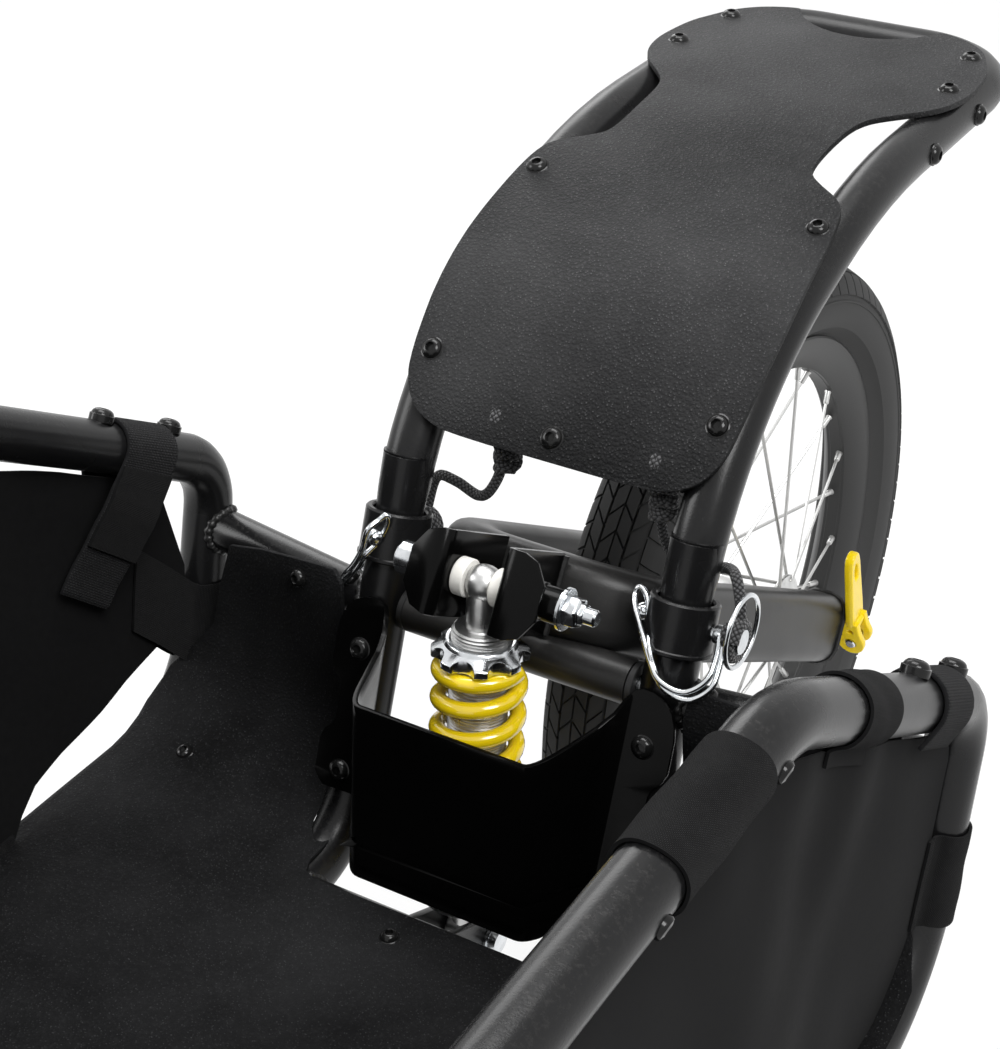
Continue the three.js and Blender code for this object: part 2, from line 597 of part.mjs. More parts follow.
// Floor sheet: flat over the floor tubes, curved up the rear posts
const sheetRun = bent([
  [vec(0, sheet.front, bed.floorRail + tubeRadius + fit)],
  [vec(0, ...sheetCorner()), bed.footBend - tubeRadius - fit],
  [onPost(0, sheet.wallTop).addScaledVector(vec(0, postWay.z, -postWay.y), tubeRadius + fit)],
], bendStep / 1.6);
function sheetCorner() {
  const off = tubeRadius + fit;
  const z = bed.floorRail + off;
  const foot = onPost(0, z);
  return [foot.y + off / postWay.z, z];
}
const sheetHalf = bed.half - sheet.inset;
const sheetRings = sheetRun.map(({ point, way }) => {
  const out = vec(0, -way.z, way.y).multiplyScalar(sheet.thick);
  const rise = Math.max(0, (point.z - sheet.wallCut) / (sheet.wallTop - sheet.wallCut));
  const push = -sheet.wingPush * rise;
  const row = [[-sheetHalf, 0], [-sheet.inner, push], [sheet.inner, push], [sheetHalf, 0]];
  const at = ([x, dy], lift) => vec(x, point.y + dy + out.y * lift, point.z + out.z * lift);
  return [...row.map((p) => at(p, 0)), ...row.reverse().map((p) => at(p, 1))];
});
let floor = loft(sheetRings);
floor = floor.subtract(box(-sheet.inner, sheet.inner, sheet.mouthY / 1.1, far, sheet.wallCut, far));
floor = floor.subtract(plate(rounded(-sheet.mouth, sheet.mouth, sheet.mouthY, 0, tubeRadius), -far, far, 'z'));
for (const way of [1, -1]) {
  const hole = tube(uprightRoute(way * upright.x).slice(0, 2).concat([[vec(way * upright.x, bed.rearFoot * 2, bed.floorRail)]]), tubeRadius + sheet.slack);
  floor = floor.subtract(hole);
}
for (const way of [1, -1]) {
  const { from, to } = bands.find(({ on }) => on === 'post');
  const band = rod(onPost(way * bed.half, from - cloth.margin / 2), onPost(way * bed.half, to + cloth.margin / 2), tubeRadius + sheet.bandSlack);
  floor = floor.subtract(band);
}
show('floor_sheet', floor, 'sheet');

// Front cross tube, neck and head tube
const crossHalf = bed.half - tubeRadius - fit;
show('front_cross', rod(vec(-crossHalf, front.y, bed.floorRail), vec(crossHalf, front.y, bed.floorRail), tubeRadius, sides.tube), 'frame');
const headTube = set(washer(front.head, front.headBore, -front.headHalf, front.headHalf, 'z'), vec(0, front.headY, bed.floorRail));
const neckOutline = rounded(
  bed.floorRail - front.neckTall, bed.floorRail + front.neckTall, -front.neckHalf, front.neckHalf, tubeRadius / 2);
const neck = plate(neckOutline, front.headY, front.y - tubeRadius - fit, 'y');
const headHole = set(disc(front.headBore, -front.headHalf * 2, front.headHalf * 2, 'z'), vec(0, front.headY, bed.floorRail));
show('head_tube', joined(headTube, neck).subtract(headHole), 'frame');

// Steering crown: two plates over and under the head tube, joined ahead of it by a block
const crownTop = bed.floorRail + front.headHalf + yoke.gap;
const crownLow = bed.floorRail - front.headHalf - yoke.gap;
const plateOutline = [[-yoke.plateHalf, yoke.blockTo], [yoke.plateHalf, yoke.blockTo]];
for (let i = 0; i <= 8; i += 1) {
  const [dx, dy] = turned(full * i / 16, yoke.plateHalf);
  plateOutline.push([dx, front.headY + dy]);
}
const crown = joined(
  plate(plateOutline, crownTop, crownTop + yoke.plate, 'z'),
  plate(plateOutline, crownLow - yoke.plate, crownLow, 'z'),
  box(-yoke.blockHalf, yoke.blockHalf, yoke.blockTo, yoke.blockFrom, crownLow - yoke.plate, crownTop + yoke.plate),
).subtract(headHole);
show('yoke_crown', crown, 'frame');
const steerer = lathe([
  [0, crownLow - yoke.plate - fit - yoke.pinTall], [yoke.pinHead, crownLow - yoke.plate - fit - yoke.pinTall],
  [yoke.pinHead, crownLow - yoke.plate - fit], [yoke.pin, crownLow - yoke.plate - fit],
  [yoke.pin, crownTop + yoke.plate + fit], [yoke.pinHead, crownTop + yoke.plate + fit],
  [yoke.pinHead, crownTop + yoke.plate + fit + yoke.pinTall], [0, crownTop + yoke.plate + fit + yoke.pinTall],
], 'z', sides.rod);
show('steering_pin', set(steerer, vec(0, front.headY, 0)), 'zinc');

// Yoke tubes, hitch plates and hitch levers
const stubEnd = hitch.long + hitch.plate;
const blockCut = box(-yoke.blockHalf - fit, yoke.blockHalf + fit, yoke.blockTo * 2, 0, -far, far);
for (const [side, way] of mirror) {
  const hitchAt = vec(way * yoke.hitchX, yoke.hitchY, yoke.hitchZ);
  const bar = tube([
    [vec(way * yoke.rootX, yoke.rootY, bed.floorRail)],
    [vec(way * yoke.shoulderX, yoke.shoulderY, bed.floorRail), yoke.shoulderBend],
    [vec(way * yoke.hitchX, yoke.elbowY, yoke.hitchZ), yoke.shoulderBend],
    [hitchAt.clone().add(vec(0, stubEnd + fit, 0))],
  ]);
  show(`yoke_tube_${side}`, bar.subtract(blockCut), 'frame');
  const plateIn = -hitch.plate / 2;
  const outline = [];
  for (let i = 0; i <= 8; i += 1) {
    outline.push(turned(full / 4 + full * i / 16, hitch.radius));
  }
  outline.push([hitch.long, -hitch.radius], [hitch.long, hitch.radius]);
  const slot = [
    [-hitch.slot, hitch.axleAt - hitch.radius], [hitch.slot, hitch.axleAt - hitch.radius],
    [hitch.slot, -hitch.radius * 2], [-hitch.slot, -hitch.radius * 2],
  ];
  const hook = plate(outline, plateIn, -plateIn, 'x').subtract(plate(slot, -hitch.radius, hitch.radius, 'x'));
  const stub = rod(vec(0, hitch.long, 0), vec(0, stubEnd, 0), hitch.stub);
  const boss = rod(vec(0, hitch.leverAt, 0), vec(way * (hitch.plate / 2 + hitch.bossTall), hitch.leverAt, 0), hitch.pin);
  show(`hitch_${side}`, set(joined(hook, stub, boss), hitchAt), 'frame');
  const leverOutline = rounded(-hitch.leverHalf, hitch.leverHalf, -hitch.boss, hitch.leverLong, hitch.leverHalf * 0.9);
  const leverIn = hitch.plate / 2 + fit;
  const leverOut = leverIn + hitch.leverThick;
  const [from, to] = way > 0 ? [leverIn, leverOut] : [-leverOut, -leverIn];
  const blade = plate(leverOutline, from, to, 'x')
    .subtract(rod(vec(-hitch.radius, 0, 0), vec(hitch.radius, 0, 0), hitch.pin + fit));
  show(`hitch_lever_${side}`, set(blade, hitchAt.clone().add(vec(0, hitch.leverAt, 0))), 'yellow');
}

// Fold-down stand: a bent tube hung from two clamps, with rubber feet
const standTop = bed.floorRail - stand.drop;
const footTop = wheel.radius - stand.footRise;
show('stand_legs', tube([
  [vec(-stand.footX, stand.y, -footTop)],
  [vec(-stand.legX, stand.y, standTop), stand.bend],
  [vec(stand.legX, stand.y, standTop), stand.bend],
  [vec(stand.footX, stand.y, -footTop)],
], stand.radius, sides.rod), 'frame');
for (const [side, way] of mirror) {
  const legWay = vec(way * (stand.footX - stand.legX), 0, -footTop - standTop).normalize();
  const footFloor = -wheel.radius;
  const at = vec(way * stand.footX, stand.y, -footTop);
  const cap = set(disc(stand.foot, -stand.footTall, stand.footRise, 'z', sides.tube), at, legWay);
  const foot = cap.subtract(rod(at.clone().addScaledVector(legWay, -stand.footTall * 2), at.clone().addScaledVector(legWay, fit), stand.radius + fit))
    .subtract(box(-far, far, -far * 3, far, footFloor - stand.foot, footFloor));
  show(`stand_foot_${side}`, foot, 'rubber');
  const x = way * upright.x;
  const clampTop = bed.floorRail - tubeRadius - fit;
  const clampLow = standTop - stand.radius - stand.clampWall;
  const half = stand.radius + stand.clampWall;
  const clamp = box(x - stand.clampHalf, x + stand.clampHalf, stand.y - half, stand.y + half, clampLow, clampTop)
    .subtract(rod(vec(-far, stand.y, standTop), vec(far, stand.y, standTop), stand.radius + pinFit));
  show(`stand_clamp_${side}`, clamp, 'plastic');
}

// Lock pins, their bails and the lanyards that tie them on
const pinPieces = {
  shank: lathe([
    [0, -pin.tip - pin.ball * 0.7], [pin.ball * 0.7, -pin.tip - pin.ball * 0.7], [pin.ball, -pin.tip],
    [pin.ball * 0.8, -pin.tip + pin.ball * 0.6], [pin.radius, -pin.tip + pin.ball * 0.8],
    [pin.radius, pin.headFrom], [pin.head, pin.headTo - 2 * pin.wire], [pin.head, pin.headTo], [0, pin.headTo],
  ], 'z', sides.rod),
};
for (const [side, way] of mirror) {
  const x = way * upright.x;
  const at = pinAt(x);
  const [tipWay, swing] = pinWays[side];
  show(`lock_pin_${side}`, set(pinPieces.shank, at, tipWay.clone().negate()), 'zinc');
  const place = ([along, out, up]) => at.clone().addScaledVector(tipWay, along).addScaledVector(swing, out).addScaledVector(legUp, up);
  const reach = pin.ball + 2.2 * pin.wire;
  const span = pin.ball * 1.2;
  const half = [
    [-pin.headTo + pin.wire * 2, pin.head + pin.wire + fit, span * 0.7],
    [-pin.headTo * 0.8, cup.radius, -span], [-pin.tip * 0.4, cup.radius * 1.5, -pin.tip],
    [pin.tip * 0.4, cup.radius * 1.3, -pin.tip], [pin.tip, reach * 1.6, -pin.tip * 0.4],
  ];
  const wires = (offset) => half.map(([a, b, c], i) => [a + offset * Math.min(1, i / 3), b, c + (i < 2 ? offset : 0)]);
  const nose = [[pin.tip + span, reach, 0], [pin.tip + span * 0.9, reach, pin.tip * 0.5], [pin.tip, reach, pin.tip * 0.72],
    [pin.tip - span * 0.9, reach, pin.tip * 0.5], [pin.tip - span, reach, 0]];
  const route = [...wires(span), ...nose, ...wires(-span).reverse()];
  show(`pin_bail_${side}`, swept(smooth(route.map(place), pin.steps), pin.wire, sides.coil), 'zinc');
}

// Lanyards: a braided cord from the fender's brace, behind the leg, to the head of each pin
for (const [side, way] of mirror) {
  const head = pinAt(way * upright.x).addScaledVector(pinWays[side][0], -pin.headTo + pin.ball);
  const end = head.clone().addScaledVector(legUp, pin.head + fit);
  const start = vec(way * lanyard.from[side], braceAt.y, braceAt.z - fender.braceRadius - fit);
  const points = [start, start.clone().add(vec(0, 0, -lanyard.lead)), ...lanyard[side].map((p) => vec(...p)),
    end.clone().addScaledVector(legUp, lanyard.lead), end];
  const cord = smooth(points, lanyard.steps);
  const long = cord.slice(1).reduce((sum, { point }, i) => sum + point.distanceTo(cord[i].point), 0);
  console.log(`lanyard ${side}: ${long.toFixed(0)} mm`);
  show(`lanyard_${side}`, swept(cord, lanyard.radius, sides.bolt), 'fabric');
}

// Fabric side panels, held to the loops by sewn bands
const clothOutline = bent(loopCorners(0)).map(({ point, way }) => (
  [point.y + way.z * cloth.margin, point.z - way.y * cloth.margin]));
for (const [side, way] of mirror) {
  const x = way * bed.half;
  let sidePanel = plate(clothOutline, x - cloth.thick / 2, x + cloth.thick / 2, 'x');
  for (const { on, from, to } of bands) {
    const ends = {
      rail: () => [vec(x, from, bed.rail), vec(x, to, bed.rail)],
      slope: () => [onSlope(x, from), onSlope(x, to)],
      post: () => [onPost(x, from), onPost(x, to)],
    }[on]();
    const long = ends[0].distanceTo(ends[1]);
    const band = washer(tubeRadius + cloth.slack + cloth.band, tubeRadius + cloth.slack, 0, long, 'z', sides.tube);
    const along = ends[1].clone().sub(ends[0]).normalize();
    const inward = vec(0, -along.z, along.y);
    if (inward.dot(vec(x, bed.seam, bed.rail / 2).sub(ends[0])) < 0) inward.negate();
    const tab = [[0, cloth.root], [0, cloth.tab], [1, cloth.tab], [1, cloth.root]].map(([end, off]) => {
      const at = ends[end].clone().addScaledVector(inward, tubeRadius + cloth.slack + off);
      return [at.y, at.z];
    });
    sidePanel = joined(sidePanel, set(band, ends[0], along), plate(tab, x - cloth.thick, x + cloth.thick, 'x'));
  }
  const strapGap = rod(onSlope(x, strapFrom - cloth.thick), onSlope(x, strapTo + cloth.thick), tubeRadius + strap.thick * 1.5);
  show(`side_panel_${side}`, sidePanel.subtract(strapGap), 'fabric');
  const strapBand = washer(tubeRadius + cloth.slack + strap.thick, tubeRadius + cloth.slack, 0, strapTo - strapFrom, 'z', sides.tube);
  const strapRoot = onSlope(x, strapFrom);
  const tailTop = onSlope(x - way * (tubeRadius + cloth.slack + strap.thick / 2), (strapFrom + strapTo) / 2);
  const strapTail = plate([
    [tailTop.y - strap.width / 2, tailTop.z], [tailTop.y + strap.width / 2, tailTop.z],
    [tailTop.y - strap.width, tailTop.z - strap.tail], [tailTop.y - strap.width * 2, tailTop.z - strap.tail],
  ], tailTop.x - strap.thick / 2, tailTop.x + strap.thick / 2, 'x');
  show(`corner_strap_${side}`, joined(set(strapBand, strapRoot, slopeWay), strapTail), 'fabric');
}

// Swing arm, in its own tilted frame: cross box, side boxes, pivot tube and dropouts
const armCross = plate(rounded(-arm.crossAt - arm.crossHalf, -arm.crossAt + arm.crossHalf, -arm.crossTall, arm.crossTall, arm.corner), -arm.reach, arm.reach, 'x');
const pivotTube = rod(vec(-arm.pivotHalf, -arm.crossAt, -arm.pivotDrop), vec(arm.pivotHalf, -arm.crossAt, -arm.pivotDrop), braceRadius, sides.lathe);
const pivotBore = rod(vec(-far, -arm.crossAt, -arm.pivotDrop), vec(far, -arm.crossAt, -arm.pivotDrop), arm.pivotBore, sides.lathe);
let swing = joined(armCross, pivotTube).subtract(pivotBore);
for (const way of [1, -1]) {
  const span = (a, b) => (way > 0 ? [a, b] : [-b, -a]);
  const section = rounded(...span(arm.sideIn, arm.sideOut), -arm.tall, arm.tall, arm.corner);
  const neckTall = arm.tall - arm.corner;
  const side = plate(section.map(([x, z]) => [z, x]), -arm.sideFrom, -arm.sideTo, 'y')
    .add(box(...span(arm.sideIn, arm.reach), -arm.crossAt, arm.corner - arm.sideFrom, -neckTall, neckTall));
  const [dropFrom, dropTo] = span(arm.dropIn, arm.dropOut);
  const outline = [[-arm.sideTo - arm.corner, -arm.dropTall], [-arm.sideTo - arm.corner, arm.dropTall]];
  for (let i = 0; i <= 8; i += 1) {
    outline.push(turned(full / 4 - full * i / 16, arm.dropTall));
  }
  const drop = plate(outline, dropFrom, dropTo, 'x')
    .subtract(rod(vec(-far, 0, 0), vec(far, 0, 0), arm.slot, sides.rod));
  swing = joined(swing, side, drop);
}
show('swing_arm', swing.subtract(pivotBore), 'frame', armGroup);

// Ears on the cross box: a cheek with a folded wing and a boss for the bolt
const earBack = -arm.crossAt - arm.crossHalf - fit;
for (const [side, way] of mirror) {
  const span = (a, b) => (way > 0 ? [a, b] : [-b, -a]);
  const cheek = plate([[earBack, -ear.tall], [earBack, ear.tall], [-ear.flangeAt - ear.thick, ear.tall], [-ear.flangeAt - ear.thick, -ear.tall]],
    ...span(ear.inner, ear.inner + ear.thick), 'x');
  const c = ear.chamfer;
  const wing = [
    [-ear.tall, ear.inner], [-ear.tall, ear.wing - c], [-ear.tall + c, ear.wing],
    [ear.tall - c, ear.wing], [ear.tall, ear.wing - c], [ear.tall, ear.inner],
  ].map(([z, x]) => [z, way * x]);
  const flange = plate(wing, -ear.flangeAt - ear.thick, -ear.flangeAt, 'y');
  const [bossFrom, bossTo] = span(ear.inner, ear.bossOut);
  const boss = rod(vec(bossFrom, -ear.boltAt, 0), vec(bossTo, -ear.boltAt, 0), ear.boss);
  const hole = rod(vec(-far, -ear.boltAt, 0), vec(far, -ear.boltAt, 0), shockBolt.radius + fit);
  show(`ear_${side}`, joined(cheek, flange, boss).subtract(hole), 'frame', armGroup);
}
const headEnd = ear.bossOut + fit;
const boltProfile = [
  [0, -headEnd - shockBolt.headTall], [shockBolt.head, -headEnd - shockBolt.headTall], [shockBolt.head, -headEnd],
  [shockBolt.radius, -headEnd], [shockBolt.radius, headEnd], [shockBolt.washer, headEnd],
  [shockBolt.washer, headEnd + shockBolt.washerTall], [shockBolt.radius, headEnd + shockBolt.washerTall],
  [shockBolt.radius, headEnd + shockBolt.washerTall + shockBolt.nutTall + shockBolt.tail],
  [0, headEnd + shockBolt.washerTall + shockBolt.nutTall + shockBolt.tail],
];
const nut = disc(shockBolt.nut, headEnd + shockBolt.washerTall / 2, headEnd + shockBolt.washerTall + shockBolt.nutTall, 'x', 6);
show('shock_bolt', set(joined(lathe(boltProfile, 'x', sides.rod), nut), vec(0, -ear.boltAt, 0)), 'zinc', armGroup);
for (const [side, way] of mirror) {
  const [from, to] = way > 0 ? [shockBush.inner, shockBush.outer] : [-shockBush.outer, -shockBush.inner];
  const bush = washer(shockBush.radius, shockBolt.radius + fit, from, to, 'x', sides.rod);
  show(`shock_bushing_${side}`, set(bush, vec(0, -ear.boltAt, 0)), 'nylon', armGroup);
  const flangeFrom = arm.pivotHalf + fit;
  const pivotBush = lathe([
    [pivot.bushBore, arm.pivotHalf - pivot.bushDeep], [arm.pivotBore - fit, arm.pivotHalf - pivot.bushDeep],
    [arm.pivotBore - fit, flangeFrom], [pivot.bushing, flangeFrom], [pivot.bushing, flangeFrom + pivot.bushFlange],
    [pivot.bushBore, flangeFrom + pivot.bushFlange],
  ].map(([r, x]) => [r, way * x]), 'x', sides.lathe);
  show(`pivot_bushing_${side}`, set(pivotBush, vec(0, -arm.crossAt, -arm.pivotDrop)), 'nylon', armGroup);
}
const pinReach = upright.x + tubeRadius / 2;
show('pivot_pin', set(disc(pivot.bolt, -pinReach, pinReach, 'x', sides.rod), pivotAt), 'zinc');

// Shock, in its own leaning frame with its upper eye at the origin
shockGroup.position.copy(eyeAt);
const seatTop = shock.long - shock.seatRise;
const eyeHole = rod(vec(-far, 0, 0), vec(far, 0, 0), shockBolt.radius + pinFit);
const body = joined(
  disc(shock.eye, -shock.eyeHalf, shock.eyeHalf, 'x', sides.lathe),
  lathe([
    [0, 0], [shock.neck, 0], [shock.neck, -shock.neckEnd], [shock.stem, -shock.neckEnd], [shock.stem, -shock.bodyTop], [shock.bodyTopRadius, -shock.bodyTop],
    [shock.body, -shock.bodyTop - shock.body + shock.bodyTopRadius], [shock.body, -shock.bodyEnd],
    [shock.bore, -shock.bodyEnd], [shock.bore, -shock.boreTop], [0, -shock.boreTop],
  ], 'z', sides.lathe),
).subtract(eyeHole);
show('shock_body', body, 'zinc', shockGroup);
let preload = lathe([
  [shock.body + fit, -collar.top - collar.tall], [collar.radius, -collar.top - collar.tall],
  [collar.radius, -collar.top - collar.tall * 0.45], [collar.cone, -collar.top], [shock.body + fit, -collar.top],
], 'z', collar.notches * 3);
for (let i = 0; i < collar.notches; i += 1) {
  const [x, y] = turned(full * (i + 0.5) / collar.notches, collar.radius);
  preload = preload.subtract(set(disc(collar.notch, -shock.bodyTop * 2, 0, 'z', sides.wire), vec(x, y, 0)));
}
show('preload_ring', preload, 'zinc', shockGroup);
const shaftProfile = [
  [0, -shock.shaftTop], [shock.shaft, -shock.shaftTop], [shock.shaft, -seatTop], [shock.seat, -seatTop],
  [shock.seat, -seatTop - shock.seatTall], [shock.foot, -seatTop - shock.seatTall],
  [shock.foot, -shock.long + shock.lowerEye / 2], [0, -shock.long + shock.lowerEye / 2],
];
const lowerEyeDisc = set(disc(shock.lowerEye, -shock.lowerEyeHalf, shock.lowerEyeHalf, 'x', sides.lathe), vec(0, 0, -shock.long));
const lowerEyeHole = rod(vec(-far, 0, -shock.long), vec(far, 0, -shock.long), lower.bolt + fit);
const foot = lathe(shaftProfile, 'z', sides.lathe).subtract(
  box(-far, -shock.lowerEyeHalf, -far, far, -shock.long * 2, -seatTop - shock.seatTall)).subtract(
  box(shock.lowerEyeHalf, far, -far, far, -shock.long * 2, -seatTop - shock.seatTall));
show('shock_shaft', joined(foot, lowerEyeDisc).subtract(lowerEyeHole), 'steel', shockGroup);

// Spring: one wire, with an upright end against the ring and one against the seat
const springTop = -collar.top - collar.tall - fit;
const springLow = -seatTop + fit;
const endLong = spring.wire * 2;
const coilTop = springTop - endLong;
const coilLow = springLow + endLong;
const coils = [];
const coilSteps = spring.turns * spring.steps;
const pitch = (coilTop - coilLow) / spring.turns;
for (let i = 0; i <= coilSteps; i += 1) {
  const angle = full * i / spring.steps;
  const [x, y] = turned(angle, spring.mean);
  const [wx, wy] = turned(angle + full / 4, spring.mean);
  const way = vec(wx, wy, -pitch / full).normalize();
  coils.push({ point: vec(x, y, coilTop - pitch * i / spring.steps), way });
}
const upEnd = { point: vec(spring.mean, 0, springTop), way: vec(0, 0, -1) };
const downEnd = { point: vec(spring.mean, 0, springLow), way: vec(0, 0, -1) };
coils[0].way.add(vec(0, 0, -1)).normalize();
coils[coilSteps].way.add(vec(0, 0, -1)).normalize();
show('spring', swept([upEnd, ...coils, downEnd], spring.wire, sides.coil), 'yellow', shockGroup);
console.log(`spring: least gap to itself ${(coilGap() - 2 * spring.wire).toFixed(2)} mm`);
function coilGap() {
  let least = Infinity;
  for (let i = 0; i < coils.length; i += 1) {
    for (let k = i + spring.steps / 2; k < coils.length; k += 1) {
      least = Math.min(least, coils[i].point.distanceTo(coils[k].point));
    }
  }
  return least;
}

// Wheel: tyre, rim, and the hub with its spokes
const both = (half) => [...half, ...half.map(([r, x]) => [r, -x]).reverse()];
const tyreHalfProfile = [
  [wheel.radius, wheel.treadHalf / 3], [wheel.tread, wheel.treadHalf], [wheel.shoulder, wheel.shoulderHalf],
  [wheel.wall, wheel.half], [wheel.lowWall, wheel.lowWallHalf], [wheel.beadTop, wheel.beadHalf],
  [wheel.bead, wheel.beadHalf],
];
show('tyre', lathe(both(tyreHalfProfile), 'x', sides.wheel), 'rubber');
const rimHalfProfile = [
  [rim.bed, rim.side], [rim.edge, rim.side], [rim.edge, rim.half], [rim.bed, rim.half],
  [rim.inner, rim.innerHalf],
];
show('rim', lathe(both(rimHalfProfile), 'x', sides.wheel), 'gloss');
const hubHalfProfile = [
  [hub.barrel, 0], [hub.barrel, hub.flangeAt - hub.flangeWall], [hub.flange, hub.flangeAt - hub.flangeWall],
  [hub.flange, hub.flangeAt], [hub.barrel, hub.flangeAt + hub.flangeWall], [hub.neck, hub.half - hub.nutWidth],
  [hub.nut, hub.half - hub.nutWidth], [hub.nut, hub.half], [hub.bore, hub.half],
];
let hubSolid = lathe(both(hubHalfProfile), 'x', sides.lathe);
for (let i = 0; i < hub.spokes; i += 1) {
  const side = i % 2 ? 1 : -1;
  const way = i % 4 < 2 ? 1 : -1;
  const angle = full * i / hub.spokes;
  const [hy, hz] = turned(angle + way * hub.cross, hub.holes);
  const [ry, rz] = turned(angle, hub.reach);
  const from = vec(side * (hub.flangeAt - hub.flangeWall / 2 + way * hub.stagger), hy, hz);
  const to = vec(side * hub.dish, ry, rz);
  const long = from.distanceTo(to);
  const spoke = lathe([
    [0, 0], [hub.wire, 0], [hub.wire, long - hub.nippleLength], [hub.nipple, long - hub.nippleLength],
    [hub.nipple, long], [0, long],
  ], 'z', sides.spoke);
  hubSolid = hubSolid.add(set(spoke, from, to.clone().sub(from)));
}
show('wheel_hub', hubSolid, 'zinc');

// Skewer with its nut, and the lever on its cam pin
const dropFace = arm.dropOut + fit;
const skewerLathe = lathe([
  [0, -dropFace - skewer.nutWidth], [skewer.acorn * 0.7, -dropFace - skewer.nutWidth], [skewer.acorn, -dropFace],
  [skewer.radius, -dropFace], [skewer.radius, dropFace], [skewer.acorn, dropFace],
  [skewer.acorn * 0.8, dropFace + skewer.acornWidth], [skewer.radius, dropFace + skewer.acornWidth],
  [skewer.radius, skewer.pinAt], [0, skewer.pinAt],
], 'x', sides.rod);
const camWay = vec(0, Math.cos(lever.lean), Math.sin(lever.lean));
const camAt = vec(skewer.pinAt, 0, 0);
const camPin = rod(camAt.clone().addScaledVector(camWay, -skewer.pinHalf), camAt.clone().addScaledVector(camWay, skewer.pinHalf), skewer.pinRadius);
show('skewer', joined(skewerLathe, camPin), 'zinc');
leverGroup.position.copy(camAt);
leverGroup.rotation.x = lever.lean;
const bladeOutline = [
  [-lever.rootHalf, lever.root], [lever.rootHalf, lever.root], [lever.tipHalf, lever.tip - lever.tipHalf],
  [lever.tipHalf * 0.6, lever.tip], [-lever.tipHalf * 0.6, lever.tip], [-lever.tipHalf, lever.tip - lever.tipHalf],
];
const slotOutline = rounded(-lever.slotHalf, lever.slotHalf, lever.slotFrom, lever.slotTo, lever.slotHalf * 0.9, 2);
let leverSolid = plate(bladeOutline, -lever.thick / 2, lever.thick / 2, 'x')
  .subtract(plate(slotOutline, -lever.thick, lever.thick, 'x'))
  .add(box(-lever.bridgeHalf, lever.bridgeHalf, -lever.rootHalf, lever.rootHalf, lever.root, lever.bridge));
for (const way of [1, -1]) {
  const [from, to] = way > 0 ? [lever.cheekIn, lever.cheekOut] : [-lever.cheekOut, -lever.cheekIn];
  const cheek = [[0, -lever.bridgeHalf], [lever.root + fit, -lever.bridgeHalf], [lever.root + fit, lever.bridgeHalf], [0, lever.bridgeHalf]];
  leverSolid = leverSolid
    .add(rod(vec(0, from, 0), vec(0, to, 0), lever.eye))
    .add(plate(cheek, from, to, 'y'));
}
leverSolid = leverSolid.subtract(rod(vec(0, -far, 0), vec(0, far, 0), skewer.pinRadius + fit));
show('qr_lever', leverSolid, 'yellow', leverGroup);

// Set down on the ground, centred
model.updateMatrixWorld(true);
const size = new THREE.Box3().setFromObject(model, true);
const middle = size.getCenter(vec(0, 0, 0));
model.position.set(-middle.x, -middle.y, -size.min.z);
model.updateMatrixWorld(true);

export default model;
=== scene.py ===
"""Single wheel touring trailer: the visible pieces over the packed frame.

Drawing sizes are millimetres from the middle of the wheel's axle, with +Y towards
the tail, +X the side of the quick-release lever and +Z up, as on the frame.
"""
import json
import math
from contextlib import contextmanager
from math import cos, pi, radians, sin, tan

import bpy
from bpy.props import FloatProperty, FloatVectorProperty, IntProperty, PointerProperty
from mathutils import Matrix, Quaternion, Vector

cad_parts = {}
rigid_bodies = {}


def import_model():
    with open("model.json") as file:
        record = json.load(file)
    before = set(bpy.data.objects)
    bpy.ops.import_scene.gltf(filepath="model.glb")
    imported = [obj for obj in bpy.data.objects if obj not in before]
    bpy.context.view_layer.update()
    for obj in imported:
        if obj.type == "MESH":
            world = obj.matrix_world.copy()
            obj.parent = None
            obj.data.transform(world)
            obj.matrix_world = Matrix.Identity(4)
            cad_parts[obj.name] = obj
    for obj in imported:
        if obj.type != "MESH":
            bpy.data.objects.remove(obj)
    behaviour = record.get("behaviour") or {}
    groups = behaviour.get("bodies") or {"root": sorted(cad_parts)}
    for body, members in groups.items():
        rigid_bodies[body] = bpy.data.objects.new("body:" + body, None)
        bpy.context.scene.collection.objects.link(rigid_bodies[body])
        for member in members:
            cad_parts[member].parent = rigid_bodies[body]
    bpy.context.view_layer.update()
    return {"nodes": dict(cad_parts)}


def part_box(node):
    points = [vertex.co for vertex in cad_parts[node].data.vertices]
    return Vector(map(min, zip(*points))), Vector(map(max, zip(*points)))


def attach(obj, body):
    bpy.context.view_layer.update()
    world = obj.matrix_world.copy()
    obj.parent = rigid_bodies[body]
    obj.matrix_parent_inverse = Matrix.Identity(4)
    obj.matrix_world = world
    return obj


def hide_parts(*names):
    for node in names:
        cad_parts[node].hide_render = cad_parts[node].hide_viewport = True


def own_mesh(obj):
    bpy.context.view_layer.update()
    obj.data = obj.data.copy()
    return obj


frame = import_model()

bl_info = {
    "name": "Touring Trailer",
    "version": (1, 0, 0),
    "blender": (4, 5, 0),
    "location": "3D View > Sidebar > Trailer",
    "description": "Models a sprung single wheel cargo trailer piece by piece",
    "category": "Object",
}

MM = 0.001
TYRE_LOW, TYRE_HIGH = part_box("tyre")
AXLE = (TYRE_LOW + TYRE_HIGH) / 2
SIDES = (("left", 1), ("right", -1))
X, Y, Z = Vector((1, 0, 0)), Vector((0, 1, 0)), Vector((0, 0, 1))


def at(x, y, z):
    """Place on the frame of a point of the drawing."""
    return AXLE + Vector((x, y, z)) * MM


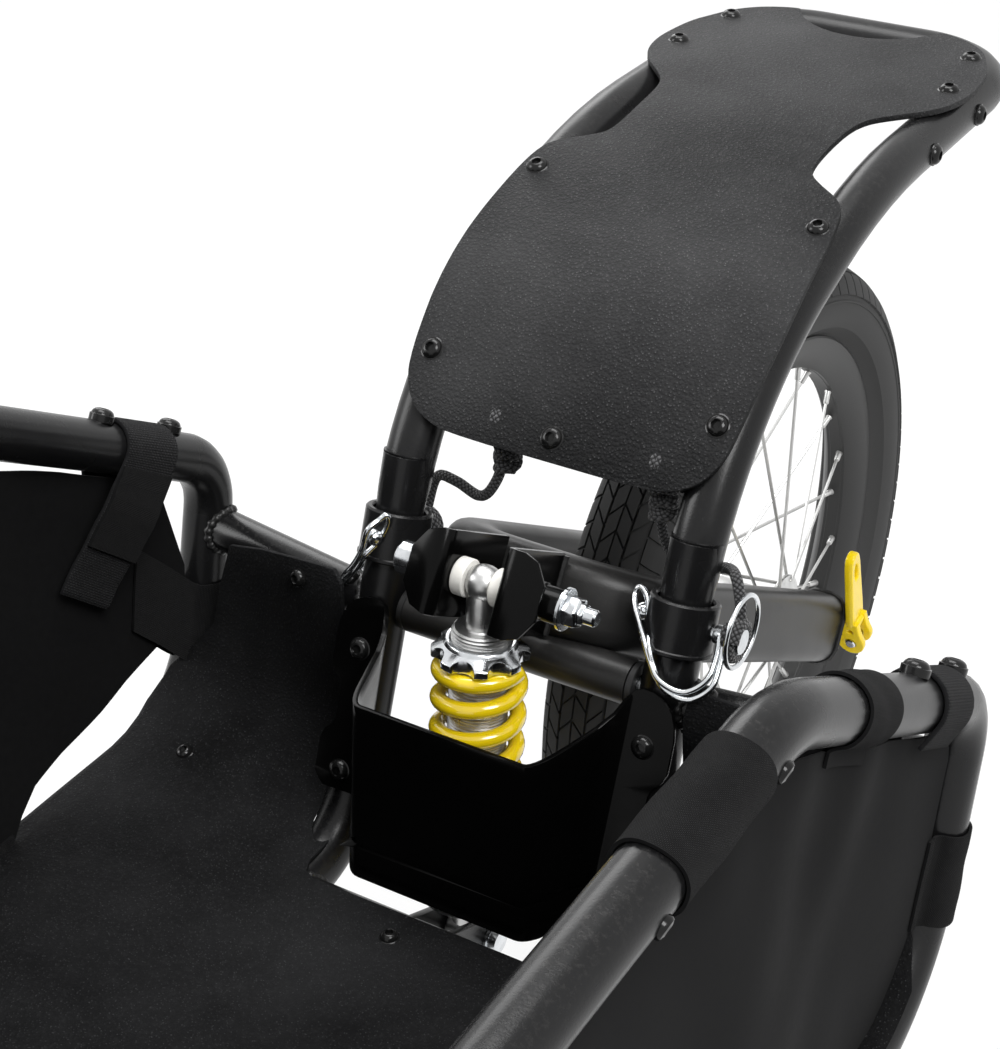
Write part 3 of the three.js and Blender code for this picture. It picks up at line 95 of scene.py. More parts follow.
# Places, sizes and directions that several pieces share, in millimetres from the axle
LEG_X, RIM_Y, RIM_Z = 77, -232, 160
LOOP_X, SEAM_Y, FLOOR_Z, RAIL_Z = 205, -600, -2, 266
RAIL_END, REAR_Y, POST_TOP, FOOT_Y = -425, -216, 141, -250
POST_RUN, POST_RISE = 34, 143
CROSS_Y, FRONT_Y, HEAD_Y, STAND_Y = -338, -771, -925, -730
CROWN_Z, TAIL_Y = 291.5, 141
EAR_BOLT, ARM_CROSS, PIVOT_DROP, SHOCK_LONG = 328, 273, 29, 191
STRAP_WIDE = 40
STRAP_BOLTS = {"left": (152, 209), "right": (145, 200)}

LEAN, ARM_TILT, SHOCK_LEAN = radians(20.7), radians(31.2), radians(6)
LEG_UP = Vector((0, sin(LEAN), cos(LEAN)))
LEG_AHEAD = Vector((0, -cos(LEAN), sin(LEAN)))
ARM_AHEAD = Vector((0, -cos(ARM_TILT), sin(ARM_TILT)))
ARM_UP = Vector((0, sin(ARM_TILT), cos(ARM_TILT)))
SHOCK_UP = Vector((0, sin(SHOCK_LEAN), cos(SHOCK_LEAN)))
SLOPE = Vector((0, REAR_Y - RAIL_END, POST_TOP - RAIL_Z)).normalized()
SLOPE_UP = Vector((0, RAIL_Z - POST_TOP, REAR_Y - RAIL_END)).normalized()
POST_UP = Vector((0, POST_RUN, POST_RISE)).normalized()
EYE = AXLE + ARM_AHEAD * EAR_BOLT * MM
PIVOT = AXLE + (ARM_AHEAD * ARM_CROSS - ARM_UP * PIVOT_DROP) * MM
LOWER_EYE = EYE - SHOCK_UP * SHOCK_LONG * MM

# Corners of a side loop, (y, z), with the bend radius of each
LOOP = (
    ((SEAM_Y, FLOOR_Z), 0), ((-862, FLOOR_Z), 72), ((-885, 206), 34), ((-790, RAIL_Z), 80),
    ((RAIL_END, RAIL_Z), 80), ((REAR_Y, POST_TOP), 34), ((FOOT_Y, FLOOR_Z), 72), ((SEAM_Y, FLOOR_Z), 0),
)


def on_leg(x, below):
    """Point on an upright's axis, that far below its collar's rim."""
    return at(x, RIM_Y, RIM_Z) - LEG_UP * below * MM


def on_slope(x, along):
    """Point on a side loop's rear slope, that far from the end of its rail."""
    return at(x, RAIL_END, RAIL_Z) + SLOPE * along * MM


def on_post(x, height):
    """Point on a side loop's rear post at a height over the axle."""
    return at(x, FOOT_Y + POST_RUN * (height - FLOOR_Z) / POST_RISE, height)


# Modelling helpers


def pick(*pieces):
    """Select these pieces alone."""
    for piece in bpy.context.view_layer.objects:
        piece.select_set(False)
    for piece in pieces:
        piece.select_set(True)
    bpy.context.view_layer.objects.active = pieces[0]


@contextmanager
def editing(piece):
    """Edit mode with the whole of a piece selected."""
    pick(piece)
    bpy.ops.object.mode_set(mode="EDIT")
    bpy.ops.mesh.select_all(action="SELECT")
    yield
    bpy.ops.object.mode_set(mode="OBJECT")


def converted(curve):
    """Mesh piece made of a curve."""
    piece = bpy.data.objects.new(curve.name, curve)
    bpy.context.collection.objects.link(piece)
    pick(piece)
    bpy.ops.object.convert(target="MESH")
    return bpy.context.view_layer.objects.active


def flat_curve(rings):
    """Filled flat curve of closed outlines in millimetres, the first with the others as holes."""
    curve = bpy.data.curves.new("outline", "CURVE")
    curve.dimensions = "2D"
    curve.fill_mode = "BOTH"
    for ring in rings:
        run = curve.splines.new("POLY")
        run.points.add(len(ring) - 1)
        run.use_cyclic_u = True
        for spot, (a, b) in zip(run.points, ring):
            spot.co = (a * MM, b * MM, 0, 1)
    return curve


def finish_with(piece, kind, **settings):
    """Add a modifier with these settings and apply it."""
    pick(piece)
    modifier = piece.modifiers.new(kind.title(), kind)
    for name, value in settings.items():
        setattr(modifier, name, value)
    bpy.ops.object.modifier_apply(modifier=modifier.name)
    return piece


def soften(piece, width, segments=2, angle=40):
    """Round the sharp edges of a piece."""
    return finish_with(piece, "BEVEL", width=width * MM, segments=segments, limit_method="ANGLE",
                       angle_limit=radians(angle), harden_normals=False)


def join(*pieces):
    """Make one piece of several."""
    if len(pieces) > 1:
        pick(*pieces)
        bpy.ops.object.join()
    return pieces[0]


def keep(piece, name, body, finish=None, stands_for=(), crisp=35):
    """Name a finished piece, set its place in its mesh and let it ride on its body."""
    piece.name = piece.data.name = name
    pick(piece)
    bpy.ops.object.transform_apply(location=True, rotation=True, scale=True)
    bpy.ops.object.shade_smooth_by_angle(angle=radians(crisp))
    if finish is not None:
        coat(piece, finish)
    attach(piece, body)
    if stands_for:
        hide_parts(*([stands_for] if isinstance(stands_for, str) else stands_for))
    return piece


def coat(piece, finish):
    """Give a whole piece one finish."""
    piece.data.materials.clear()
    piece.data.materials.append(finish_named(finish))
    return piece


def aim(piece, centre, axis, clock=None):
    """Turn a piece made along +Z about the origin to an axis through a centre."""
    axis = axis.normalized()
    if clock is None:
        turn = axis.to_track_quat("Z", "Y").to_matrix()
    else:
        side = clock.cross(axis).normalized()
        turn = Matrix((side.cross(axis), side, axis)).transposed()
    piece.matrix_world = Matrix.Translation(centre) @ turn.to_4x4()
    pick(piece)
    bpy.ops.object.transform_apply(location=True, rotation=True, scale=True)
    return piece


def bent(corners, step=6):
    """Points along straight runs joined by arcs, from (point, bend radius) corners."""
    points = []
    for i, (point, radius) in enumerate(corners):
        if not radius or i in (0, len(corners) - 1):
            points.append(point)
            continue
        into = (point - corners[i - 1][0]).normalized()
        out = (corners[i + 1][0] - point).normalized()
        turn = into.angle(out)
        hinge = into.cross(out).normalized()
        start = point - into * radius * MM * tan(turn / 2)
        centre = start + hinge.cross(into) * radius * MM
        count = max(2, math.ceil(turn / radians(step)))
        for k in range(count + 1):
            points.append(centre + Quaternion(hinge, turn * k / count) @ (start - centre))
    return points


def flowing(points, count, steps=20):
    """Evenly spaced points on one smooth curve through points."""
    ends = [2 * points[0] - points[1], *points, 2 * points[-1] - points[-2]]
    fine = []
    for a, b, c, d in zip(ends, ends[1:], ends[2:], ends[3:]):
        t1 = (b - a).length ** 0.5
        t2 = t1 + (c - b).length ** 0.5
        t3 = t2 + (d - c).length ** 0.5
        for k in range(steps):
            t = t1 + (t2 - t1) * k / steps
            ab = a * (t1 - t) / t1 + b * t / t1
            bc = b * (t2 - t) / (t2 - t1) + c * (t - t1) / (t2 - t1)
            cd = c * (t3 - t) / (t3 - t2) + d * (t - t2) / (t3 - t2)
            abc = ab * (t2 - t) / t2 + bc * t / t2
            bcd = bc * (t3 - t) / (t3 - t1) + cd * (t - t1) / (t3 - t1)
            fine.append(abc * (t2 - t) / (t2 - t1) + bcd * (t - t1) / (t2 - t1))
    fine.append(points[-1])
    return even(fine, count)


def even(points, count):
    """The same line as that many equal steps."""
    lengths = [0]
    for a, b in zip(points, points[1:]):
        lengths.append(lengths[-1] + (b - a).length)
    spread, i = [], 0
    for k in range(count + 1):
        want = lengths[-1] * k / count
        while i < len(points) - 2 and lengths[i + 1] < want:
            i += 1
        share = (want - lengths[i]) / max(1e-9, lengths[i + 1] - lengths[i])
        spread.append(points[i].lerp(points[i + 1], min(1, share)))
    return spread


def tube(points, radius, closed=False, swell=None, sides=6):
    """Round tube along points."""
    curve = bpy.data.curves.new("tube", "CURVE")
    curve.dimensions = "3D"
    curve.bevel_depth = radius * MM
    curve.bevel_resolution = sides
    curve.use_fill_caps = not closed
    run = curve.splines.new("POLY")
    run.points.add(len(points) - 1)
    run.use_cyclic_u = closed
    for k, (spot, point) in enumerate(zip(run.points, points)):
        spot.co = (*point, 1)
        spot.radius = swell[k] if swell else 1
    return converted(curve)


def rippled(points, radius, ripple=0.2, closed=False):
    """Weld bead along points, with a ripple at every other one."""
    swell = [1 + ripple * (k % 2) for k in range(len(points))]
    return tube(points, radius, closed=closed, swell=swell, sides=2)


def swept(run, section, up, smooth=True):
    """Closed bar of a section, pairs across and up, carried along points."""
    frames = []
    for k, point in enumerate(run):
        way = (run[min(k + 1, len(run) - 1)] - run[max(k - 1, 0)]).normalized()
        side = way.cross(up).normalized()
        up = side.cross(way) if smooth else up
        frames.append((point, side, side.cross(way)))

    def place(u, v):
        point, side, lift = frames[round(v * (len(run) - 1))]
        a, b = section[round(u * len(section)) % len(section)]
        return point + (side * a + lift * b) * MM

    piece = spread(len(section), len(run) - 1, place)
    with editing(piece):
        bpy.ops.mesh.remove_doubles(threshold=1e-6)
        bpy.ops.mesh.fill_holes(sides=0)
        bpy.ops.mesh.select_all(action="SELECT")
        bpy.ops.mesh.normals_make_consistent(inside=False)
    return piece


def turned(profile, centre, axis, steps=40, clock=None):
    """Piece spun from (radius, along) pairs about an axis through a centre."""
    hollow = profile[0] == profile[-1]
    rings = [pair for pair in profile if pair[0] > 0]
    radius, start = rings[0]
    bpy.ops.object.select_all(action="DESELECT")
    bpy.ops.mesh.primitive_circle_add(vertices=steps, radius=radius * MM, location=(0, 0, start * MM),
                                      fill_type="NOTHING" if hollow else "NGON")
    piece = bpy.context.view_layer.objects.active
    with editing(piece):
        for (r0, a0), (r1, a1) in zip(rings, rings[1:]):
            rise = {"value": (0, 0, (a1 - a0) * MM)}
            if hollow:
                bpy.ops.mesh.extrude_edges_move(TRANSFORM_OT_translate=rise)
            else:
                bpy.ops.mesh.extrude_region_move(TRANSFORM_OT_translate=rise)
            bpy.ops.transform.resize(value=(r1 / r0, r1 / r0, 1), center_override=(0, 0, a1 * MM))
        bpy.ops.mesh.select_all(action="SELECT")
        if hollow:
            bpy.ops.mesh.remove_doubles(threshold=1e-6)
        bpy.ops.mesh.normals_make_consistent(inside=False)
    bpy.ops.object.transform_apply(location=True, rotation=True, scale=True)
    return aim(piece, centre, axis, clock)


def plate(outline, thick, origin, across, up, holes=(), edge=0.4):
    """Flat plate about its middle plane: outline and holes are pairs along across and up."""
    curve = flat_curve((outline, *holes))
    curve.extrude = (thick / 2 - edge) * MM
    curve.bevel_depth = edge * MM
    curve.bevel_resolution = 1
    curve.offset = -edge * MM
    piece = converted(curve)
    turn = Matrix((across, up, across.cross(up))).transposed()
    piece.matrix_world = Matrix.Translation(origin) @ turn.to_4x4()
    bpy.ops.object.transform_apply(location=True, rotation=True, scale=True)
    return piece


def rounded(a0, a1, b0, b1, radius, steps=6):
    """Outline of a rectangle with rounded corners."""
    outline = []
    for quarter, (a, b) in enumerate(((a1 - radius, b1 - radius), (a0 + radius, b1 - radius),
                                      (a0 + radius, b0 + radius), (a1 - radius, b0 + radius))):
        for k in range(steps + 1):
            angle = (quarter + k / steps) * pi / 2
            outline.append((a + radius * cos(angle), b + radius * sin(angle)))
    return outline


def circle(a, b, radius, steps=24):
    """Outline of a round hole."""
    return [(a + radius * cos(2 * pi * k / steps), b + radius * sin(2 * pi * k / steps))
            for k in range(steps)]


def spread(columns, rows, place, size=None):
    """Sheet of columns by rows whose points are placed by their shares across and along."""
    bpy.ops.object.select_all(action="DESELECT")
    bpy.ops.mesh.primitive_grid_add(x_subdivisions=columns, y_subdivisions=rows, size=2)
    piece = bpy.context.view_layer.objects.active
    for point in piece.data.vertices:
        point.co = place((point.co.x + 1) / 2, (point.co.y + 1) / 2)
    if size:
        for spot in piece.data.uv_layers.active.data:
            spot.uv = (spot.uv[0] * size[0], spot.uv[1] * size[1])
    return piece


def copies(template, places):
    """Copies of a piece made along +Z at each (point, axis); the template goes."""
    made = []
    for centre, axis in places:
        other = bpy.data.objects.new("copy", template.data.copy())
        bpy.context.collection.objects.link(other)
        turn = axis.normalized().to_track_quat("Z", "Y").to_matrix().to_4x4()
        other.data.transform(Matrix.Translation(centre) @ turn)
        made.append(other)
    bpy.data.objects.remove(template)
    return join(*made)


def weld(start, way, radius, other, other_way, other_radius, bead=1.9):
    """Rippled bead where a tube's end meets the side of another tube."""
    way, other_way = way.normalized(), other_way.normalized()
    side = way.orthogonal().normalized()
    lift = way.cross(side)
    points = []
    for k in range(72):
        angle = 2 * pi * k / 72
        foot = start + (side * cos(angle) + lift * sin(angle)) * radius * MM
        gap = foot - other
        across = gap - other_way * gap.dot(other_way)
        run = way - other_way * way.dot(other_way)
        a, b = run.dot(run), 2 * across.dot(run)
        c = across.dot(across) - (other_radius * MM) ** 2
        root = math.sqrt(max(0, b * b - 4 * a * c))
        ahead = (-b - root) / (2 * a)
        points.append(foot + way * ahead)
    swell = [1 + 0.22 * sin(2 * pi * k / 4) for k in range(72)]
    return tube(points, bead, closed=True, swell=swell, sides=2)


def button_bolts(name, places, body, finish, radius=5.2, deep=0.5):
    """Domed bolt heads with a hexagon socket at each (point, outward) place."""
    r = radius
    head = turned([
        (0, -deep), (r * 1.12, -deep), (r * 1.12, 0.25), (r * 1.0, 0.5), (r * 0.98, 0.9), (r * 0.9, 1.8),
        (r * 0.74, 2.6), (r * 0.56, 3.05), (r * 0.46, 3.15), (r * 0.44, 3.0), (r * 0.42, 1.2), (0, 1.0),
    ], Vector(), Z, 24)
    for point in head.data.vertices:
        flat = Vector((point.co.x, point.co.y))
        if 0 < flat.length < r * 0.45 * MM:
            corner = math.atan2(flat.y, flat.x) % (pi / 3) - pi / 6
            point.co.x *= cos(pi / 6) / cos(corner) * 1.1
            point.co.y *= cos(pi / 6) / cos(corner) * 1.1
    return keep(copies(head, places), name, body, finish, crisp=30)


# Finishes


def node(tree, kind, links=None, **settings):
    """Add a node, set its settings, and set or link its inputs."""
    made = tree.nodes.new(kind)
    for name, value in settings.items():
        setattr(made, name, value)
    for name, value in (links or {}).items():
        if isinstance(value, bpy.types.NodeSocket):
            tree.links.new(value, made.inputs[name])
        else:
            made.inputs[name].default_value = value
    return made


def maths(tree, operation, *values):
    """Result of a math node on these values."""
    return node(tree, "ShaderNodeMath", dict(enumerate(values)), operation=operation).outputs[0]


def times(tree, first, second):
    """Product of two values."""
    return maths(tree, "MULTIPLY", first, second)


def plus(tree, first, second):
    """Sum of two values."""
    return maths(tree, "ADD", first, second)


def between(tree, value, low, high, to_low=0.0, to_high=1.0):
    """Value spread from one range to another, and held inside it."""
    return node(tree, "ShaderNodeMapRange", {
        "Value": value, "From Min": low, "From Max": high, "To Min": to_low, "To Max": to_high,
    }).outputs[0]


def noise(tree, vector, scale, detail=2.0, roughness=0.5):
    """Noise value at a scale per metre."""
    return node(tree, "ShaderNodeTexNoise", {
        "Vector": vector, "Scale": scale, "Detail": detail, "Roughness": roughness,
    }).outputs["Fac"]


def shades(tree, mask, dark, light):
    """Colour between two by a mask."""
    mixed = node(tree, "ShaderNodeMix", {"Factor": mask}, data_type="RGBA")
    mixed.inputs[6].default_value = (*dark, 1)
    mixed.inputs[7].default_value = (*light, 1)
    return mixed.outputs[2]


def effect(name, inputs, outputs, build):
    """Shared effect as a node group, built once."""
    tree = bpy.data.node_groups.get(name)
    if tree is None:
        tree = bpy.data.node_groups.new(name, "ShaderNodeTree")
        for label, kind, value in inputs:
            socket = tree.interface.new_socket(label, in_out="INPUT", socket_type=kind)
            if value is not None:
                socket.default_value = value
        for label, kind in outputs:
            tree.interface.new_socket(label, in_out="OUTPUT", socket_type=kind)
        source, result = tree.nodes.new("NodeGroupInput"), tree.nodes.new("NodeGroupOutput")
        for label, socket in build(tree, source.outputs).items():
            tree.links.new(socket, result.inputs[label])
    return tree


def use(tree, group, links):
    """Place a shared effect in a material."""
    return node(tree, "ShaderNodeGroup", links, node_tree=group).outputs


FLOAT, VECTOR = "NodeSocketFloat", "NodeSocketVector"


def grain_effect():
    """Fine moulded or leathery grain: height of the pebbles and a mask of their tips, which the grained
    finish paints pale as glints of light.
    """
    def build(tree, given):
        cells = node(tree, "ShaderNodeTexVoronoi", {
            "Vector": given["Vector"], "Scale": given["Scale"], "Randomness": 1.0}, feature="F1")
        fine = noise(tree, given["Vector"], times(tree, given["Scale"], 2.3), 3.0, 0.6)
        pebble = maths(tree, "SUBTRACT", 1.0, cells.outputs["Distance"])
        height = plus(tree, times(tree, pebble, 0.65), times(tree, fine, 0.5))
        return {"Height": height, "Tips": between(tree, height, 0.74, 0.95)}
    return effect("Grain", (("Vector", VECTOR, None), ("Scale", FLOAT, 900.0)),
                  (("Height", FLOAT), ("Tips", FLOAT)), build)


def wear_effect():
    """Handling marks: cloudy patches and thin scuffs."""
    def build(tree, given):
        cloud = noise(tree, given["Vector"], given["Patches"], 4.0, 0.6)
        stretched = node(tree, "ShaderNodeMapping", {"Vector": given["Vector"], "Scale": (1.0, 0.12, 1.0)})
        scuff = noise(tree, stretched.outputs[0], times(tree, given["Patches"], 30.0), 2.0, 0.7)
        return {"Cloud": between(tree, cloud, 0.35, 0.7), "Scuffs": between(tree, scuff, 0.68, 0.8)}
    return effect("Handling wear", (("Vector", VECTOR, None), ("Patches", FLOAT, 12.0)),
                  (("Cloud", FLOAT), ("Scuffs", FLOAT)), build)


def dust_effect():
    """Dust that settles on upward faces."""
    def build(tree, given):
        normal = node(tree, "ShaderNodeSeparateXYZ", {
            0: node(tree, "ShaderNodeNewGeometry").outputs["Normal"]}).outputs["Z"]
        settled = between(tree, normal, 0.3, 1.0)
        specks = noise(tree, given["Vector"], 420.0, 3.0, 0.7)
        mask = times(tree, settled, between(tree, specks, 0.5, 0.75))
        return {"Mask": times(tree, mask, given["Amount"])}
    return effect("Dust", (("Vector", VECTOR, None), ("Amount", FLOAT, 0.3)), (("Mask", FLOAT),), build)


def weave_effect():
    """Plain weave from crossing threads, on coordinates in metres; its Shade output is painted shade in the
    hollows between threads.
    """
    def build(tree, given):
        parts = node(tree, "ShaderNodeSeparateXYZ", {0: given["Vector"]}).outputs
        turns = times(tree, given["Threads"], 2 * pi)
        warp = maths(tree, "SINE", times(tree, parts["X"], turns))
        weft = maths(tree, "SINE", times(tree, parts["Y"], turns))
        over = times(tree, warp, weft)
        ribs = times(tree, maths(tree, "ABSOLUTE", warp), maths(tree, "ABSOLUTE", weft))
        height = plus(tree, times(tree, over, 0.5), ribs)
        return {"Height": height, "Shade": between(tree, height, -0.4, 1.2)}
    return effect("Weave", (("Vector", VECTOR, None), ("Threads", FLOAT, 900.0)),
                  (("Height", FLOAT), ("Shade", FLOAT)), build)


def seen_rays(tree):
    """Mask of the rays that see the background plain: the camera's, glossy and transmitted ones."""
    path = node(tree, "ShaderNodeLightPath").outputs
    direct = maths(tree, "MAXIMUM", path["Is Camera Ray"], path["Is Glossy Ray"])
    return maths(tree, "MAXIMUM", direct, path["Is Transmission Ray"])


def new_finish(name, settings):
    """Material with its shader and object coordinates ready."""
    finish = bpy.data.materials.new(name)
    finish.use_nodes = True
    tree = finish.node_tree
    tree.nodes.clear()
    shader = node(tree, "ShaderNodeBsdfPrincipled", settings)
    result = node(tree, "ShaderNodeOutputMaterial")
    tree.links.new(shader.outputs[0], result.inputs[0])
    place = node(tree, "ShaderNodeTexCoord").outputs
    return finish, tree, shader, place


def feed(tree, shader, **sockets):
    """Link values into the shader's inputs."""
    for name, socket in sockets.items():
        tree.links.new(socket, shader.inputs[name.replace("_", " ")])


def bump(tree, height, strength, depth):
    """Normal from a height."""
    return node(tree, "ShaderNodeBump", {
        "Height": height, "Strength": strength, "Distance": depth}).outputs[0]


def painted(name, colour, pale, rough, peel=0.25, dust=0.12, **plain):
    """Sprayed or powder coated finish with orange peel, handling marks and dust."""
    finish, tree, shader, place = new_finish(name, {"Metallic": 0.0, "Specular IOR Level": 0.24, **plain})
    spot = place["Object"]
    marks = use(tree, wear_effect(), {"Vector": spot, "Patches": 9.0})
    dusty = use(tree, dust_effect(), {"Vector": spot, "Amount": dust})["Mask"]
    base = shades(tree, times(tree, marks["Cloud"], 0.6), colour, pale)
    mixed = node(tree, "ShaderNodeMix", {"Factor": dusty}, data_type="RGBA")
    tree.links.new(base, mixed.inputs[6])
    mixed.inputs[7].default_value = (0.11, 0.105, 0.1, 1)
    gloss = between(tree, marks["Cloud"], 0.0, 1.0, rough - 0.05, rough + 0.06)
    gloss = plus(tree, gloss, times(tree, marks["Scuffs"], 0.08))
    gloss = plus(tree, gloss, times(tree, dusty, 0.5))
    feed(tree, shader, Base_Color=mixed.outputs[2], Roughness=gloss,
         Normal=bump(tree, noise(tree, spot, 1100.0, 2.0, 0.5), peel, 0.0002))
    return finish


def grained(name, colour, pale, rough, scale, depth, dust=0.1, shine=0.12):
    """Moulded plastic sheet with a leathery grain, its pebble tips painted pale as glints of light."""
    finish, tree, shader, place = new_finish(name, {"Metallic": 0.0, "Specular IOR Level": shine})
    spot = place["Object"]
    pebbles = use(tree, grain_effect(), {"Vector": spot, "Scale": scale})
    marks = use(tree, wear_effect(), {"Vector": spot, "Patches": 7.0})
    dusty = use(tree, dust_effect(), {"Vector": spot, "Amount": dust})["Mask"]
    # Pale mix: the pebble tips are painted glints of light; the wear cloud and dust add real paler tone.
    mask = plus(tree, times(tree, pebbles["Tips"], 0.7), times(tree, marks["Cloud"], 0.2))
    mask = plus(tree, mask, dusty)
    gloss = between(tree, pebbles["Tips"], 0.0, 1.0, rough + 0.1, rough - 0.12)
    feed(tree, shader, Base_Color=shades(tree, mask, colour, pale), Roughness=gloss,
         Normal=bump(tree, pebbles["Height"], 0.8, depth))
    return finish


def metal(name, colour, dark, rough, streak=0.0, flow=(1.0, 1.0, 1.0), plated=1.0):
    """Bare or plated metal with faint streaks and tarnish."""
    finish, tree, shader, place = new_finish(name, {"Metallic": plated})
    spot = place["Object"]
    run = node(tree, "ShaderNodeMapping", {"Vector": spot, "Scale": flow}).outputs[0]
    lines = noise(tree, run, 900.0, 3.0, 0.6)
    cloud = noise(tree, spot, 60.0, 3.0, 0.6)
    gloss = between(tree, plus(tree, times(tree, lines, 0.5), times(tree, cloud, 0.5)), 0.3, 0.7,
                    rough - 0.06, rough + 0.1)
    feed(tree, shader, Base_Color=shades(tree, between(tree, cloud, 0.35, 0.7), colour, dark),
         Roughness=gloss, Normal=bump(tree, lines, 0.1 + streak, 0.0001))
    return finish


def rubbery(name, colour, pale, rough, scale=700.0):
    """Matt rubber or moulded plastic."""
    finish, tree, shader, place = new_finish(name, {"Metallic": 0.0, "Specular IOR Level": 0.2})
    spot = place["Object"]
    cloud = noise(tree, spot, 35.0, 4.0, 0.6)
    fine = noise(tree, spot, scale, 3.0, 0.6)
    feed(tree, shader, Base_Color=shades(tree, between(tree, cloud, 0.35, 0.7), colour, pale),
         Roughness=between(tree, fine, 0.3, 0.7, rough - 0.08, rough + 0.08),
         Normal=bump(tree, fine, 0.3, 0.0003))
    return finish


def tyre_rubber():
    """Tyre: matt rubber with a reflective band low on each wall and fine moulded rings."""
    colours = bpy.context.scene.trailer_colours
    finish, tree, shader, place = new_finish("tyre_rubber", {"Metallic": 0.0, "Specular IOR Level": 0.12})
    centred = node(tree, "ShaderNodeMapping", {"Vector": place["Object"], "Location": tuple(-AXLE)})
    parts = node(tree, "ShaderNodeSeparateXYZ", {0: centred.outputs[0]}).outputs
    radius = maths(tree, "SQRT", plus(tree, times(tree, parts["Y"], parts["Y"]),
                                      times(tree, parts["Z"], parts["Z"])))
    band = times(tree, maths(tree, "GREATER_THAN", radius, 0.1665),
                 maths(tree, "LESS_THAN", radius, 0.1705))
    cloud = between(tree, noise(tree, place["Object"], 30.0, 4.0, 0.6), 0.35, 0.7)
    rubber = shades(tree, cloud, tuple(colours.rubber), (0.014, 0.014, 0.014))
    mixed = node(tree, "ShaderNodeMix", {"Factor": band}, data_type="RGBA")
    tree.links.new(rubber, mixed.inputs[6])
    mixed.inputs[7].default_value = (0.42, 0.42, 0.41, 1)
    rings = maths(tree, "SINE", times(tree, radius, 4200.0))
    fine = noise(tree, place["Object"], 800.0, 3.0, 0.6)
    height = plus(tree, fine, times(tree, rings, 0.25))
    gloss = between(tree, band, 0.0, 1.0, 0.62, 0.4)
    feed(tree, shader, Base_Color=mixed.outputs[2], Roughness=gloss, Normal=bump(tree, height, 0.3, 0.0003))
    return finish


def woven(name, colour, pale, threads, depth, rough=0.92, sheen=0.03):
    """Cloth or webbing on the piece's own map, in metres, with painted shade between its threads."""
    finish, tree, shader, place = new_finish(name, {
        "Metallic": 0.0, "Specular IOR Level": 0.03, "Sheen Weight": sheen, "Sheen Roughness": 0.4})
    cloth = use(tree, weave_effect(), {"Vector": place["UV"], "Threads": threads})
    lint = noise(tree, place["Object"], 260.0, 3.0, 0.7)
    # The hollows between threads are painted darker as shade and the thread tops paler as light; the lint
    # adds real tone.
    mask = times(tree, cloth["Shade"], between(tree, lint, 0.3, 0.75, 0.35, 1.0))
    feed(tree, shader, Base_Color=shades(tree, mask, colour, pale),
         Roughness=between(tree, lint, 0.3, 0.7, rough - 0.08, min(1.0, rough + 0.06)),
         Normal=bump(tree, cloth["Height"], 0.7, depth))
    return finish


def braided(name, colour, pale):
    """Braided cord: diamonds that wind both ways, on the cord's own map, with painted highlight on the
    strands' crowns and painted shade in their grooves.
    """
    finish, tree, shader, place = new_finish(name, {
        "Metallic": 0.0, "Specular IOR Level": 0.3, "Sheen Weight": 0.2, "Sheen Roughness": 0.4})
    parts = node(tree, "ShaderNodeSeparateXYZ", {0: place["UV"]}).outputs
    around = times(tree, parts["X"], 2 * pi * 3)
    along = times(tree, parts["Y"], 2 * pi * 210)
    one = maths(tree, "SINE", plus(tree, around, along))
    two = maths(tree, "SINE", maths(tree, "SUBTRACT", around, along))
    height = times(tree, maths(tree, "ABSOLUTE", one), maths(tree, "ABSOLUTE", two))
    # Colour by height: painted highlight on the crowns of the strands, painted shade in the grooves between
    # them.
    feed(tree, shader, Base_Color=shades(tree, between(tree, height, 0.0, 0.8), colour, pale),
         Roughness=between(tree, height, 0.0, 1.0, 0.95, 0.6), Normal=bump(tree, height, 1.0, 0.0006))
    return finish


def finish_named(name):
    """The finish of that name, made when it is first asked for."""
    made = bpy.data.materials.get(name)
    return made if made else FINISHES[name]()


def colour_of(name):
    """A colour from the panel."""
    return tuple(getattr(bpy.context.scene.trailer_colours, name))


